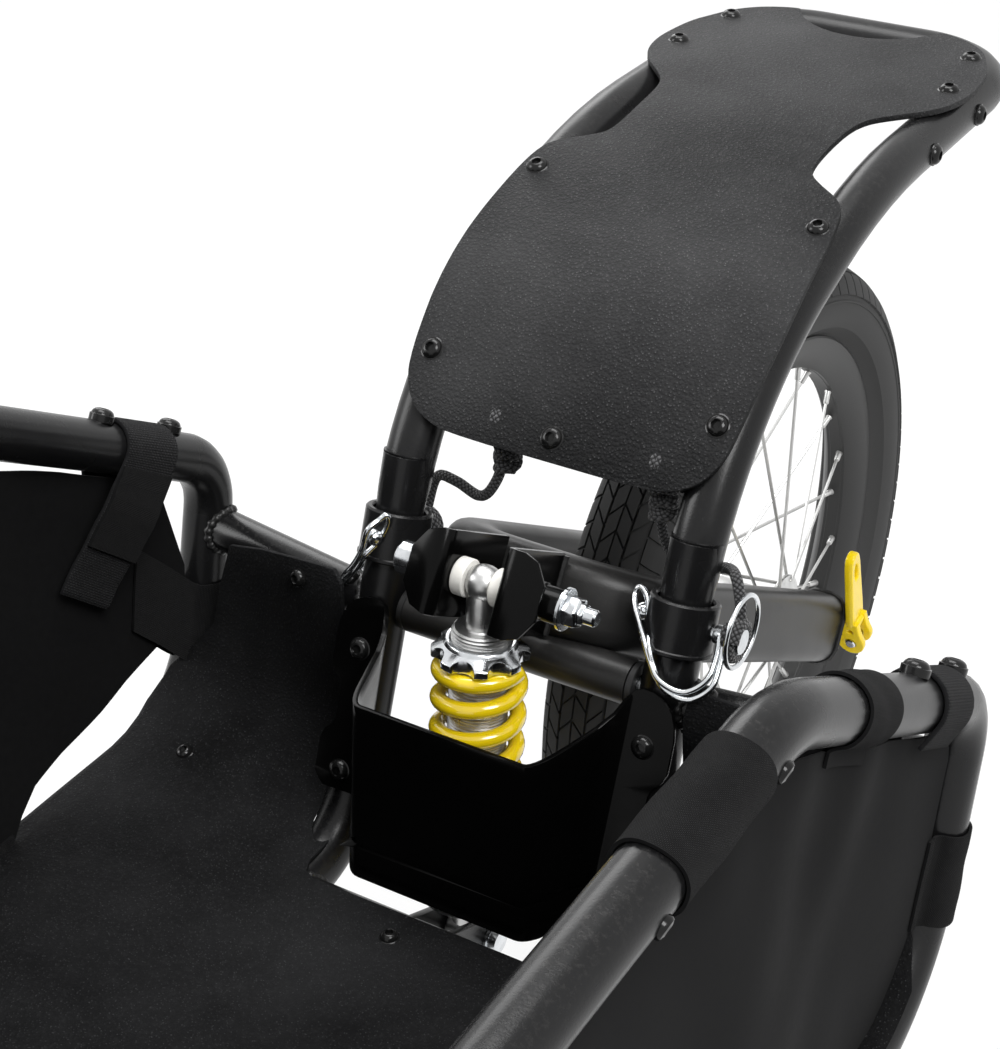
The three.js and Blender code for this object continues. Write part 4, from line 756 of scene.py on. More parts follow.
FINISHES = {
    "frame_coat": lambda: painted("frame_coat", colour_of("frame"), (0.011, 0.011, 0.0115), 0.28),
    "arm_coat": lambda: painted("arm_coat", (0.012, 0.012, 0.012), (0.024, 0.023, 0.022), 0.36),
    "weld_coat": lambda: painted("weld_coat", (0.01, 0.01, 0.01), (0.03, 0.03, 0.03), 0.3, peel=0.6),
    "gloss_coat": lambda: painted("gloss_coat", colour_of("guard"), (0.003, 0.003, 0.003), 0.2, 0.05, 0.02,
                                  **{"Specular IOR Level": 0.1}),
    "fastener_black": lambda: painted("fastener_black", (0.005, 0.005, 0.005), (0.014, 0.014, 0.014), 0.16,
                                      0.1, 0.05),
    # The pale colours of the grained sheets are mostly painted glints on the pebble tips, partly real tone
    # from wear and dust.
    "panel_sheet": lambda: grained("panel_sheet", colour_of("panel"), (0.13, 0.13, 0.133), 0.5, 650.0,
                                   0.0009),
    "floor_sheet": lambda: grained("floor_sheet", colour_of("floor"), (0.06, 0.061, 0.063), 0.62, 650.0,
                                   0.0007,
                                   shine=0.05),
    "moulded_black": lambda: rubbery("moulded_black", (0.014, 0.014, 0.015), (0.03, 0.03, 0.03), 0.5),
    "foot_rubber": lambda: rubbery("foot_rubber", (0.016, 0.016, 0.016), (0.04, 0.04, 0.038), 0.75),
    "tyre_rubber": tyre_rubber,
    "bright_zinc": lambda: metal("bright_zinc", (0.78, 0.8, 0.82), (0.5, 0.52, 0.54), 0.16),
    "brushed_silver": lambda: metal("brushed_silver", (0.72, 0.72, 0.71), (0.42, 0.42, 0.42), 0.3, 0.15,
                                    (1, 1, 0.1)),
    "spoke_steel": lambda: metal("spoke_steel", (0.6, 0.6, 0.58), (0.4, 0.4, 0.38), 0.28),
    "rim_black": lambda: painted("rim_black", colour_of("rim"), (0.03, 0.03, 0.03), 0.3, 0.1, 0.1),
    "yellow_coat": lambda: painted("yellow_coat", colour_of("yellow"), (0.93, 0.72, 0.03), 0.28, 0.15, 0.02,
                                   **{"Coat Weight": 0.3, "Coat Roughness": 0.1}),
    "spring_coat": lambda: painted("spring_coat", colour_of("yellow"), (0.93, 0.66, 0.02), 0.2, 0.1, 0.01,
                                   **{"Specular IOR Level": 0.5, "Coat Weight": 0.9,
                                      "Coat Roughness": 0.03}),
    "white_nylon": lambda: rubbery("white_nylon", (0.78, 0.77, 0.73), (0.64, 0.62, 0.57), 0.45),
    # The pale colours of cloth and webbing are painted light on the thread tops, and the darker colours are
    # painted shade between the threads.
    "bag_cloth": lambda: woven("bag_cloth", colour_of("cloth"), (0.02, 0.02, 0.0205), 900.0, 0.0005),
    "webbing": lambda: woven("webbing", (0.006, 0.006, 0.0065), (0.035, 0.035, 0.036), 420.0, 0.0008, 0.85),
    # The braid's pale colour is painted highlight on the strands' crowns.
    "braid": lambda: braided("braid", (0.002, 0.002, 0.002), (0.075, 0.075, 0.078)),
}


def cut_sheet(outline, place, thick, across=(), along=(), holes=(), offset=0.0, edge=0.5, angle=30):
    """Sheet cut flat in millimetres, scored at the lines given, set by place, then given its thickness."""
    piece = converted(flat_curve((outline, *holes)))
    with editing(piece):
        bpy.ops.mesh.remove_doubles(threshold=1e-6)
        bpy.ops.mesh.dissolve_limited(angle_limit=radians(1))
        for normal, values in (((1, 0, 0), across), ((0, 1, 0), along)):
            for value in values:
                bpy.ops.mesh.select_all(action="SELECT")
                bpy.ops.mesh.bisect(plane_co=tuple(value * MM * part for part in normal), plane_no=normal)
    mesh = piece.data
    flat = mesh.uv_layers.new(name="Flat")
    for loop in mesh.loops:
        flat.data[loop.index].uv = mesh.vertices[loop.vertex_index].co.xy
    for point in mesh.vertices:
        point.co = place(point.co.x / MM, point.co.y / MM)
    if thick:
        finish_with(piece, "SOLIDIFY", thickness=thick * MM, offset=offset, use_even_offset=True)
        if edge:
            soften(piece, edge, 2, angle)
    return piece


# Sizes and colours of the panel


def length(name, value, note):
    """Length setting whose default is given in millimetres."""
    return FloatProperty(name=name, description=note, default=value * MM, min=0.0, unit="LENGTH",
                         precision=4)


def tint(name, note, colour):
    """Colour setting."""
    return FloatVectorProperty(name=name, description=note, default=colour, size=3, min=0.0, max=1.0,
                               subtype="COLOR")


class TrailerTubes(bpy.types.PropertyGroup):
    """Tube sizes."""
    main: length("Main tube", 12.7, "Radius of the loops, uprights, fender hoop and yoke tubes")
    brace: length("Brace tube", 11.0, "Radius of the rear braces and the lower cross")
    slim: length("Slim tube", 8.0, "Radius of the fender's brace")
    stand: length("Stand tube", 9.5, "Radius of the stand's legs")
    bead: length("Weld bead", 1.9, "Radius of the weld beads")


class TrailerWheel(bpy.types.PropertyGroup):
    """Wheel sizes."""
    pitches: IntProperty(name="Tread pitches", description="Tread blocks round the tyre", default=88,
                         min=40, max=120)
    groove: length("Tread groove", 1.7, "Width of the grooves between tread blocks")
    depth: length("Tread depth", 1.9, "Height of the tread blocks")
    spoke: length("Spoke", 1.0, "Radius of a spoke")
    spokes: IntProperty(name="Spokes", description="Spokes in the wheel", default=28, min=12, max=36)


class TrailerShock(bpy.types.PropertyGroup):
    """Shock and spring sizes."""
    wire: length("Spring wire", 4.0, "Radius of the spring's wire")
    coil: length("Spring coil", 18.7, "Mean radius of the spring's coils")
    turns: FloatProperty(name="Turns", description="Turns of the spring", default=7.9, min=3.0, max=9.0)
    thread: length("Thread pitch", 1.6, "Pitch of the thread on the shock's body")


class TrailerCloth(bpy.types.PropertyGroup):
    """Cloth sizes."""
    thick: length("Cloth", 1.3, "Thickness of the side panels' cloth")
    webbing: length("Webbing", 2.0, "Thickness of the straps")
    fold: length("Folds", 4.5, "Depth of the folds in the side panels")
    cord: length("Cord", 2.6, "Radius of the braided lanyards")


class TrailerColours(bpy.types.PropertyGroup):
    """Finish colours."""
    frame: tint("Frame", "Powder coat on the tubes", (0.006, 0.006, 0.0063))
    guard: tint("Guard", "Gloss coat on the spring guard", (0.0014, 0.0014, 0.0014))
    panel: tint("Fender panel", "Grained fender panel", (0.007, 0.0071, 0.0075))
    floor: tint("Floor", "Grained floor sheet", (0.0028, 0.0028, 0.003))
    cloth: tint("Cloth", "Side panels", (0.005, 0.005, 0.0052))
    rubber: tint("Tyre", "Tyre rubber", (0.006, 0.006, 0.006))
    rim: tint("Rim", "Rim coat", (0.018, 0.018, 0.018))
    yellow: tint("Yellow", "Spring and levers", (0.84, 0.61, 0.006))


SETTINGS = {"trailer_tubes": TrailerTubes, "trailer_wheel": TrailerWheel, "trailer_shock": TrailerShock,
            "trailer_cloth": TrailerCloth, "trailer_colours": TrailerColours}


# Stage

# Lamps: place, turn, size in metres and power
LAMPS = (
    ("key_light", (1.6, -0.6, 2.6), (radians(28), radians(36), 0), (1.6, 1.2), 80),
    ("top_light", (-0.3, 0.9, 2.7), (radians(-8), radians(-6), 0), (1.8, 1.2), 60),
    ("back_light", (-1.9, 2.3, 1.7), (radians(-62), 0, radians(38)), (1.6, 1.2), 22),
    ("left_light", (-2.4, -0.9, 1.5), (radians(62), 0, radians(-68)), (1.2, 1.4), 34),
)
# Camera in metres: place, line of sight, way to the right and lens in millimetres
CAMERA_AT = (0.4303, -0.3703, 0.9074)
CAMERA_AHEAD = Vector((-0.4412, 0.7275, -0.5254)).normalized()
CAMERA_RIGHT = Vector((0.8575, 0.5144, -0.0077))
LENS, SENSOR = 74.9, 36


class TRAILER_OT_stage(bpy.types.Operator):
    """Set the floor, soft studio light and the camera"""
    bl_idname = "trailer.stage"
    bl_label = "Stage"
    bl_options = {"REGISTER", "UNDO"}

    def execute(self, context):
        bpy.ops.object.select_all(action="DESELECT")
        scene = context.scene
        bpy.ops.mesh.primitive_grid_add(x_subdivisions=2, y_subdivisions=2, size=24,
                                        location=(0, 0, -0.0006))
        floor = bpy.context.view_layer.objects.active
        floor.name = "floor"
        floor.data.materials.append(self.paper())
        self.world(scene)
        for name, place, turn, size, power in LAMPS:
            lamp = bpy.data.lights.new(name, "AREA")
            lamp.shape = "RECTANGLE"
            lamp.size, lamp.size_y = size
            lamp.energy = power
            holder = bpy.data.objects.new(name, lamp)
            holder.location = place
            holder.rotation_euler = turn
            scene.collection.objects.link(holder)
        lens = bpy.data.cameras.new("camera")
        lens.sensor_fit = "AUTO"
        lens.sensor_width = SENSOR
        lens.lens = LENS
        lens.clip_end = 60
        camera = bpy.data.objects.new("camera", lens)
        right = (CAMERA_RIGHT - CAMERA_AHEAD * CAMERA_RIGHT.dot(CAMERA_AHEAD)).normalized()
        turn = Matrix((right, right.cross(CAMERA_AHEAD), -CAMERA_AHEAD)).transposed()
        camera.matrix_world = Matrix.Translation(CAMERA_AT) @ turn.to_4x4()
        scene.collection.objects.link(camera)
        scene.camera = camera
        scene.view_settings.view_transform = "Standard"
        return {"FINISHED"}

    def paper(self):
        """White ground that the camera sees plain apart from the shadow."""
        finish = bpy.data.materials.new("paper")
        finish.use_nodes = True
        tree = finish.node_tree
        tree.nodes.clear()
        spot = node(tree, "ShaderNodeTexCoord").outputs["Object"]
        fibre = noise(tree, spot, 6.0, 4.0, 0.6)
        plain = node(tree, "ShaderNodeBsdfPrincipled", {
            "Base Color": shades(tree, fibre, (0.84, 0.84, 0.84), (0.9, 0.9, 0.9)), "Roughness": 0.9,
            "Emission Color": (1, 1, 1, 1), "Emission Strength": 0.0})
        white = node(tree, "ShaderNodeEmission", {"Color": (1, 1, 1, 1), "Strength": 1.0})
        seen = seen_rays(tree)
        away = node(tree, "ShaderNodeVectorMath", {0: spot}, operation="LENGTH").outputs["Value"]
        plainly = between(tree, away, 1.3, 3.2, 0.78, 1.0)
        mixed = node(tree, "ShaderNodeMixShader", {0: times(tree, seen, plainly)})
        tree.links.new(plain.outputs[0], mixed.inputs[1])
        tree.links.new(white.outputs[0], mixed.inputs[2])
        tree.links.new(mixed.outputs[0], node(tree, "ShaderNodeOutputMaterial").inputs[0])
        return finish

    def world(self, scene):
        """Even pale surroundings, white where the camera sees them."""
        surroundings = bpy.data.worlds.new("studio")
        scene.world = surroundings
        surroundings.use_nodes = True
        tree = surroundings.node_tree
        tree.nodes.clear()
        soft = node(tree, "ShaderNodeBackground", {"Color": (1, 1, 1, 1), "Strength": 0.22})
        plain = node(tree, "ShaderNodeBackground", {"Color": (1, 1, 1, 1), "Strength": 1.0})
        seen = seen_rays(tree)
        mixed = node(tree, "ShaderNodeMixShader", {0: seen})
        tree.links.new(soft.outputs[0], mixed.inputs[1])
        tree.links.new(plain.outputs[0], mixed.inputs[2])
        tree.links.new(mixed.outputs[0], node(tree, "ShaderNodeOutputWorld").inputs[0])


# Lanyards

# Routes: start under the brace, points chosen behind the leg, end at the pin's head
LANYARDS = {
    "left": (
        (52, -208.73, 201.34), (51, -206, 174), (56, -203, 160), (72, -207, 160), (88, -212, 168),
        (98, -224, 171), (104, -233.94, 154.86),
    ),
    "right": (
        (-31, -208.73, 201.34), (-35, -212, 177), (-44, -211, 166), (-60, -208, 168), (-73, -204, 165),
        (-77, -208.69, 145.31),
    ),
}
LEAD, STATIONS, FINE, RUN_STEPS = 6, 24, 60, 96
BRACE = Vector((0, -208.73, 209.64))


def lanyard(side):
    """Stations of a lanyard in millimetres, straight at both ends and on one smooth curve."""
    start, *points, end = [Vector(place) for place in LANYARDS[side]]
    return flowing([start, start - Z * LEAD, *points, end + LEG_UP * LEAD, end], STATIONS, FINE)


class TRAILER_OT_lanyards(bpy.types.Operator):
    """Tie the braided lanyards from the fender's brace to the lock pins"""
    bl_idname = "trailer.lanyards"
    bl_label = "Lanyards"
    bl_options = {"REGISTER", "UNDO"}

    def execute(self, context):
        radius = context.scene.trailer_cloth.cord / MM
        for side, _ in SIDES:
            run = flowing([at(*point) for point in lanyard(side)], RUN_STEPS)
            cord = self.strand(run, radius)
            keep(cord, f"braid_{side}", "frame", "braid", f"lanyard_{side}", 60)
            knots = self.knots(side, radius)
        return {"FINISHED"}

    def strand(self, run, radius):
        """Mesh tube whose map runs round and along it in metres."""
        section = [(radius * cos(2 * pi * k / 16), radius * sin(2 * pi * k / 16)) for k in range(16)]
        piece = swept(run, section, (run[1] - run[0]).orthogonal())
        long = sum((b - a).length for a, b in zip(run, run[1:]))
        for spot in piece.data.uv_layers.active.data:
            spot.uv = (spot.uv[0], spot.uv[1] * long)
        return piece

    def knots(self, side, radius):
        """Turns of cord round the brace, and round the pin's head."""
        stations = lanyard(side)
        x, way = stations[0].x, 1 if side == "left" else -1
        pieces = []
        turns = [at(x + way * (k / 48 * 1.9 * radius - radius * 1.2), BRACE.y + 9.8 * sin(2 * pi * k / 24),
                    BRACE.z + 9.8 * cos(2 * pi * k / 24)) for k in range(60)]
        wrap = self.strand(turns, radius)
        x, y, z = stations[1]
        lump = [at(x + (4.6 + 0.8 * sin(k * 0.37)) * cos(2 * pi * k / 18), y + 4.4 * sin(2 * pi * k / 18),
                   z + 5 - 0.2 * k + 1.6 * sin(k * 0.52)) for k in range(90)]
        knot = self.strand(lump, radius)
        pieces.append(keep(join(wrap, knot), f"brace_knot_{side}", "frame", "braid",
                           crisp=60))
        if side == "left":
            centre, a, b = at(104, *PIN[1:]), LEG_AHEAD, LEG_UP
        else:
            centre, a, b = at(-77, PIN[1], PIN[2]) - LEG_AHEAD * 24 * MM, X, LEG_UP
        line = a.cross(b)
        turns = [centre + (a * cos(2 * pi * k / 20) + b * sin(2 * pi * k / 20)) * 8.2 * MM
                 + line * (k / 40 * 1.7 * radius - radius) * MM for k in range(44)]
        pieces.append(keep(self.strand(turns, radius), f"pin_knot_{side}", "frame", "braid",
                           crisp=60))
        return pieces


PIN = (0, RIM_Y - 12 * LEG_UP.y, RIM_Z - 12 * LEG_UP.z)


# Frame

# Profiles, (radius, along)
LOOPS_HEAD = ((0, -1.2), (4.6, -1.2), (4.6, 0.6), (4, 1.5), (2.4, 2), (2, 1), (0, 1))


class TRAILER_OT_loops(bpy.types.Operator):
    """Bend the side loops and set their bolts and rivets"""
    bl_idname = "trailer.loops"
    bl_label = "Side loops"
    bl_options = {"REGISTER", "UNDO"}

    def execute(self, context):
        radius = context.scene.trailer_tubes.main / MM
        for side, way in SIDES:
            x = way * LOOP_X
            run = bent([(at(x, y, z), bend) for (y, z), bend in LOOP], 5)[:-1]
            loop = tube(run, radius, closed=True, sides=8)
            keep(loop, f"loop_{side}", "frame", "frame_coat", f"side_loop_{side}")
            tops = [(on_slope(x, along) + SLOPE_UP * (radius + 2.6) * MM, SLOPE_UP)
                    for along in STRAP_BOLTS[side]]
            button_bolts(f"strap_bolts_{side}", tops, "frame", "fastener_black", 5.6, deep=3.2)
            self.rivets(side, x, radius)
        return {"FINISHED"}

    def rivets(self, side, x, radius):
        """Rivets that hold the cloth to the outside of the rails."""
        head = turned(LOOPS_HEAD, Vector(), Z, 20)
        out = Vector((1 if x > 0 else -1, 0, -0.42)).normalized()
        places = [(at(x, y, RAIL_Z) + out * radius * MM, out) for y in (-446, -532, -640, -748)]
        keep(copies(head, places), f"cloth_rivets_{side}", "frame", "fastener_black")


# Profiles, (radius, along)
UPRIGHTS_COLLAR = (
    (13.1, -25), (15.9, -25), (16.5, -24.3), (16.5, -0.9), (15.7, 0), (13.9, 0), (13.1, -0.9), (13.1, -25),
)
UPRIGHTS_RING = ((16.4, -24.9), (17.2, -24.2), (17.2, -22.9), (16.4, -22.3), (16.4, -24.9))
UPRIGHTS_BOLT = (
    (0, -19.6), (3.8, -19.6), (6.9, -19), (7.4, -18), (7.4, -13.3), (4.2, -13.3), (4.2, 13.3), (7.6, 13.3),
    (7.6, 14.6), (6.4, 14.8), (6.4, 19), (4.1, 19.4), (0, 19.4),
)


class TRAILER_OT_uprights(bpy.types.Operator):
    """Bend the uprights, set their collars and weld the braces and cross tubes on"""
    bl_idname = "trailer.uprights"
    bl_label = "Uprights and braces"
    bl_options = {"REGISTER", "UNDO"}

    def execute(self, context):
        sizes = context.scene.trailer_tubes
        radius, brace, bead = sizes.main / MM, sizes.brace / MM, sizes.bead / MM
        for side, way in SIDES:
            x = way * LEG_X
            run = bent([(on_leg(x, 18.3), 0), (at(x, -293, FLOOR_Z), 46), (at(x, -758, FLOOR_Z), 0)], 5)
            keep(tube(run, radius, sides=8), f"leg_{side}", "frame", "frame_coat", f"upright_{side}")
            collar = turned(UPRIGHTS_COLLAR, at(x, RIM_Y, RIM_Z), LEG_UP, 48)
            ring = turned(UPRIGHTS_RING, at(x, RIM_Y, RIM_Z), LEG_UP, 48)
            keep(join(collar, ring), f"socket_{side}", "frame", "frame_coat", f"collar_{side}")
            outer, inner = at(way * (LOOP_X - 2), -221, 106), at(way * (LEG_X + 2), -248, 113)
            bar = tube([outer, inner], brace, sides=8)
            keep(bar, f"brace_{side}", "frame", "frame_coat", f"rear_brace_{side}")
            run = (inner - outer).normalized()
            top = (Z - Y * 0.35).normalized()
            button_bolts(f"brace_bolt_{side}", [(inner - run * 19 * MM + top * (brace - 0.3) * MM, top)],
                         "frame", "fastener_black", 4.6)
            beads = [
                weld(outer + run * 30 * MM, -run, brace, on_post(way * LOOP_X, 106), POST_UP, radius,
                     bead * 1.25),
                weld(inner - run * 30 * MM, run, brace, on_leg(x, 50), LEG_UP, radius, bead),
                weld(at(way * 40, CROSS_Y, FLOOR_Z), X * way, brace, at(x, CROSS_Y, FLOOR_Z), Y, radius,
                     bead),
                weld(at(way * 150, FRONT_Y, FLOOR_Z), X * way, radius, at(way * LOOP_X, FRONT_Y, FLOOR_Z),
                     Y, radius, bead),
            ]
            keep(join(*beads), f"frame_welds_{side}", "frame", "weld_coat", crisp=60)
        self.clevis(brace)
        return {"FINISHED"}

    def clevis(self, brace):
        """Lower cross tube with the plates that hold the foot of the shock."""
        bar = tube([at(-LEG_X + 2, CROSS_Y, FLOOR_Z), at(LEG_X - 2, CROSS_Y, FLOOR_Z)], brace, sides=8)
        foot = LOWER_EYE - AXLE
        y, z = foot.y / MM, foot.z / MM
        lean = math.atan2(z - FLOOR_Z, y - CROSS_Y)
        outline = []
        for (cy, cz), size, start in (((y, z), 11, lean - pi / 2),
                                      ((CROSS_Y, FLOOR_Z), brace, lean + pi / 2)):
            outline += [(cy + size * cos(start + pi * k / 14), cz + size * sin(start + pi * k / 14))
                        for k in range(15)]
        cheeks = [plate(outline, 4, at(way * 11, 0, 0), Y, Z, [circle(y, z, 4.6)]) for way in (1, -1)]
        keep(join(bar, *cheeks), "shock_cross", "frame", "frame_coat", "lower_cross")
        bolt = turned(UPRIGHTS_BOLT, LOWER_EYE, X, 24)
        keep(bolt, "foot_bolt", "frame", "bright_zinc", "lower_bolt")


def guard_depth(x, z):
    """How far forward the spring guard stands at a place across and up."""
    wall = RIM_Y - (RIM_Z - z) * tan(LEAN) - 14.3 / cos(LEAN)
    front = -329 + 7 * (z - 15) / 96 + 1.25
    share = (63.5 - abs(x)) / 15.5
    soft = 0.3
    if share <= -soft:
        return wall
    if share >= 1 + soft:
        return front
    if share < soft:
        eased = (share + soft) ** 2 / (4 * soft)
    elif share > 1 - soft:
        eased = 1 - (1 + soft - share) ** 2 / (4 * soft)
    else:
        eased = share
    return wall + (front - wall) * eased


class TRAILER_OT_guard(bpy.types.Operator):
    """Fold the plate that guards the spring"""
    bl_idname = "trailer.guard"
    bl_label = "Spring guard"
    bl_options = {"REGISTER", "UNDO"}

    def execute(self, context):
        half = [
            (14, 15), (40, 15), (52, 15), (58, 16.5), (62, 20), (63.8, 25), (64.5, 30), (67, 33), (84, 33),
            (88, 34.5), (91, 38), (91, 54), (89, 59), (85.5, 62), (84, 66), (84, 80), (85.5, 84), (89, 87),
            (91, 92), (91, 107), (90, 113), (87.5, 118.5), (83.5, 122.5), (78, 125), (72, 125.3),
            (67.5, 123.5), (64.8, 119.5), (62.5, 114.5), (59, 111.8), (54, 111), (40, 111),
        ]
        outline = half + [(-x, z) for x, z in reversed(half)]
        scores = sorted({sign * (fold + step) for sign in (1, -1) for fold in (63.5, 48)
                         for step in (-4.6, -3, -1.5, 0, 1.5, 3, 4.6)})
        sheet = cut_sheet(outline, lambda x, z: at(x, guard_depth(x, z), z), 2.5, scores, range(24, 124, 8),
                          edge=0.7)
        keep(sheet, "guard", "frame", "gloss_coat", "spring_guard", 40)
        places = [(at(way * LEG_X, guard_depth(LEG_X, z) - 1.2, z), LEG_AHEAD) for way in (1, -1)
                  for z in (101, 42)]
        button_bolts("guard_bolts", places, "frame", "fastener_black")
        return {"FINISHED"}


# Fender

KNEE = Vector((0, RIM_Y, RIM_Z)) + LEG_UP * 85
DECK_FROM, DECK_LONG = 43, 375.5
DECK_EDGE = (
    (0, 50), (2.4, 64), (7.9, 75), (17.8, 82), (29.6, 85), (74, 88), (128, 85), (152, 82), (162, 77),
    (171, 62), (177, 55), (186, 53), (204, 53), (223.5, 54), (235, 57), (243, 62), (252, 70), (261, 78),
    (271, 84), (285, 88), (301, 89), (327, 86), (341, 80), (353, 75), (361, 69), (368, 61), (373, 51),
    (375.5, 42),
)
DECK_BOLTS = ((34, 75), (34, -75), (142, 75), (142, -75), (295, 77), (295, -77), (345, 70), (345, -70),
              (10.5, 0))


def hoop_side(x):
    """Corners of one side of the fender hoop, from inside its collar to the crown."""
    return [(on_leg(x, -28), 0), (at(x, KNEE.y, KNEE.z), 185), (at(x, -55, CROWN_Z), 290)]


class DeckRun:
    """The fender panel's run over the hoop, by length from the collar's rim."""

    def __init__(self):
        self.points = bent([(at(0, RIM_Y, RIM_Z), 0), *hoop_side(0)[1:], (at(0, 153.7, CROWN_Z), 0)], 2)
        self.far = [0.0]
        for a, b in zip(self.points, self.points[1:]):
            self.far.append(self.far[-1] + (b - a).length / MM)

    def spot(self, along):
        """Point on the run and the way out of it."""
        i = 0
        while i < len(self.far) - 2 and self.far[i + 1] < along:
            i += 1
        step = self.points[i + 1] - self.points[i]
        share = (along - self.far[i]) / (self.far[i + 1] - self.far[i])
        before = self.points[i] - self.points[i - 1] if i else step
        after = self.points[i + 2] - self.points[i + 1] if i + 2 < len(self.points) else step
        way = (before.normalized() * (1 - share) + step.normalized()
               + after.normalized() * share).normalized()
        return self.points[i] + step * share, Vector((0, -way.z, way.y))


def smoothed(points, rounds=2):
    """Corner cutting of a closed outline."""
    for _ in range(rounds):
        cut = []
        for (a0, b0), (a1, b1) in zip(points, points[1:] + points[:1]):
            cut += [(a0 * 0.75 + a1 * 0.25, b0 * 0.75 + b1 * 0.25),
                    (a0 * 0.25 + a1 * 0.75, b0 * 0.25 + b1 * 0.75)]
        points = cut
    return points


# Profiles, (radius, along)
FENDER_PLUG = ((0, -18), (11.6, -18), (11.7, 0), (12.2, 9), (12.45, 26.8), (11.6, 27.5), (0, 27.5))


class TRAILER_OT_fender(bpy.types.Operator):
    """Bend the fender hoop and lay its grained panel on it"""
    bl_idname = "trailer.fender"
    bl_label = "Fender"
    bl_options = {"REGISTER", "UNDO"}

    def execute(self, context):
        sizes = context.scene.trailer_tubes
        radius, slim, bead = sizes.main / MM, sizes.slim / MM, sizes.bead / MM
        run = bent([*hoop_side(LEG_X), (at(LEG_X, TAIL_Y, CROWN_Z), 46), (at(-LEG_X, TAIL_Y, CROWN_Z), 46),
                    *reversed(hoop_side(-LEG_X))], 4)
        hoop = [tube(run, radius - 0.1, sides=8)]
        for x in (LEG_X, -LEG_X):
            hoop.append(turned(FENDER_PLUG, at(x, RIM_Y, RIM_Z), LEG_UP, 48))
        keep(join(*hoop), "fender_tube", "frame", "frame_coat", "fender_hoop")
        bar = tube([at(-LEG_X + 3, BRACE.y, BRACE.z), at(LEG_X - 3, BRACE.y, BRACE.z)], slim, sides=7)
        keep(bar, "fender_bar", "frame", "frame_coat", "fender_brace")
        beads = [weld(at(way * 40, BRACE.y, BRACE.z), X * way, slim,
                      at(way * LEG_X, KNEE.y, KNEE.z) - LEG_UP * 20 * MM, LEG_UP, radius, bead * 0.8)
                 for way in (1, -1)]
        keep(join(*beads), "fender_welds", "frame", "weld_coat", crisp=60)
        self.panel(radius)
        return {"FINISHED"}

    def panel(self, radius):
        """Grained panel, its bolts and the bolts through the hoop."""
        deck = DeckRun()

        def place(x, along):
            point, out = deck.spot(DECK_FROM + along)
            return point + (out * (radius + 0.3) + X * x) * MM
        right = [(half, along) for along, half in DECK_EDGE]
        left = [(-half, along) for along, half in reversed(DECK_EDGE)]
        recess = [(44 * sin(a), 390.5 - 44 * cos(a)) for a in (radians(k) for k in range(-66, 67, 6))
                  if 390.5 - 44 * cos(a) < 375.4]
        outline = smoothed(right + list(reversed(recess)) + left, 2)
        sheet = cut_sheet(outline, place, 3.0, (), [k * 5 for k in range(1, 75)], offset=1.0, edge=0.7)
        keep(sheet, "deck_panel", "frame", "panel_sheet", "fender_panel", 40)
        heads = []
        for along, x in DECK_BOLTS:
            point, out = deck.spot(DECK_FROM + along)
            heads.append((point + (out * (radius + 3.1) + X * x) * MM, out))
        for share in (0.66, 0.825):
            point, _ = deck.spot(DECK_FROM + share * DECK_LONG)
            heads += [(point + X * way * (LEG_X + radius - 0.3) * MM, X * way) for way in (1, -1)]
        button_bolts("fender_bolts", heads, "frame", "fastener_black")


# Floor


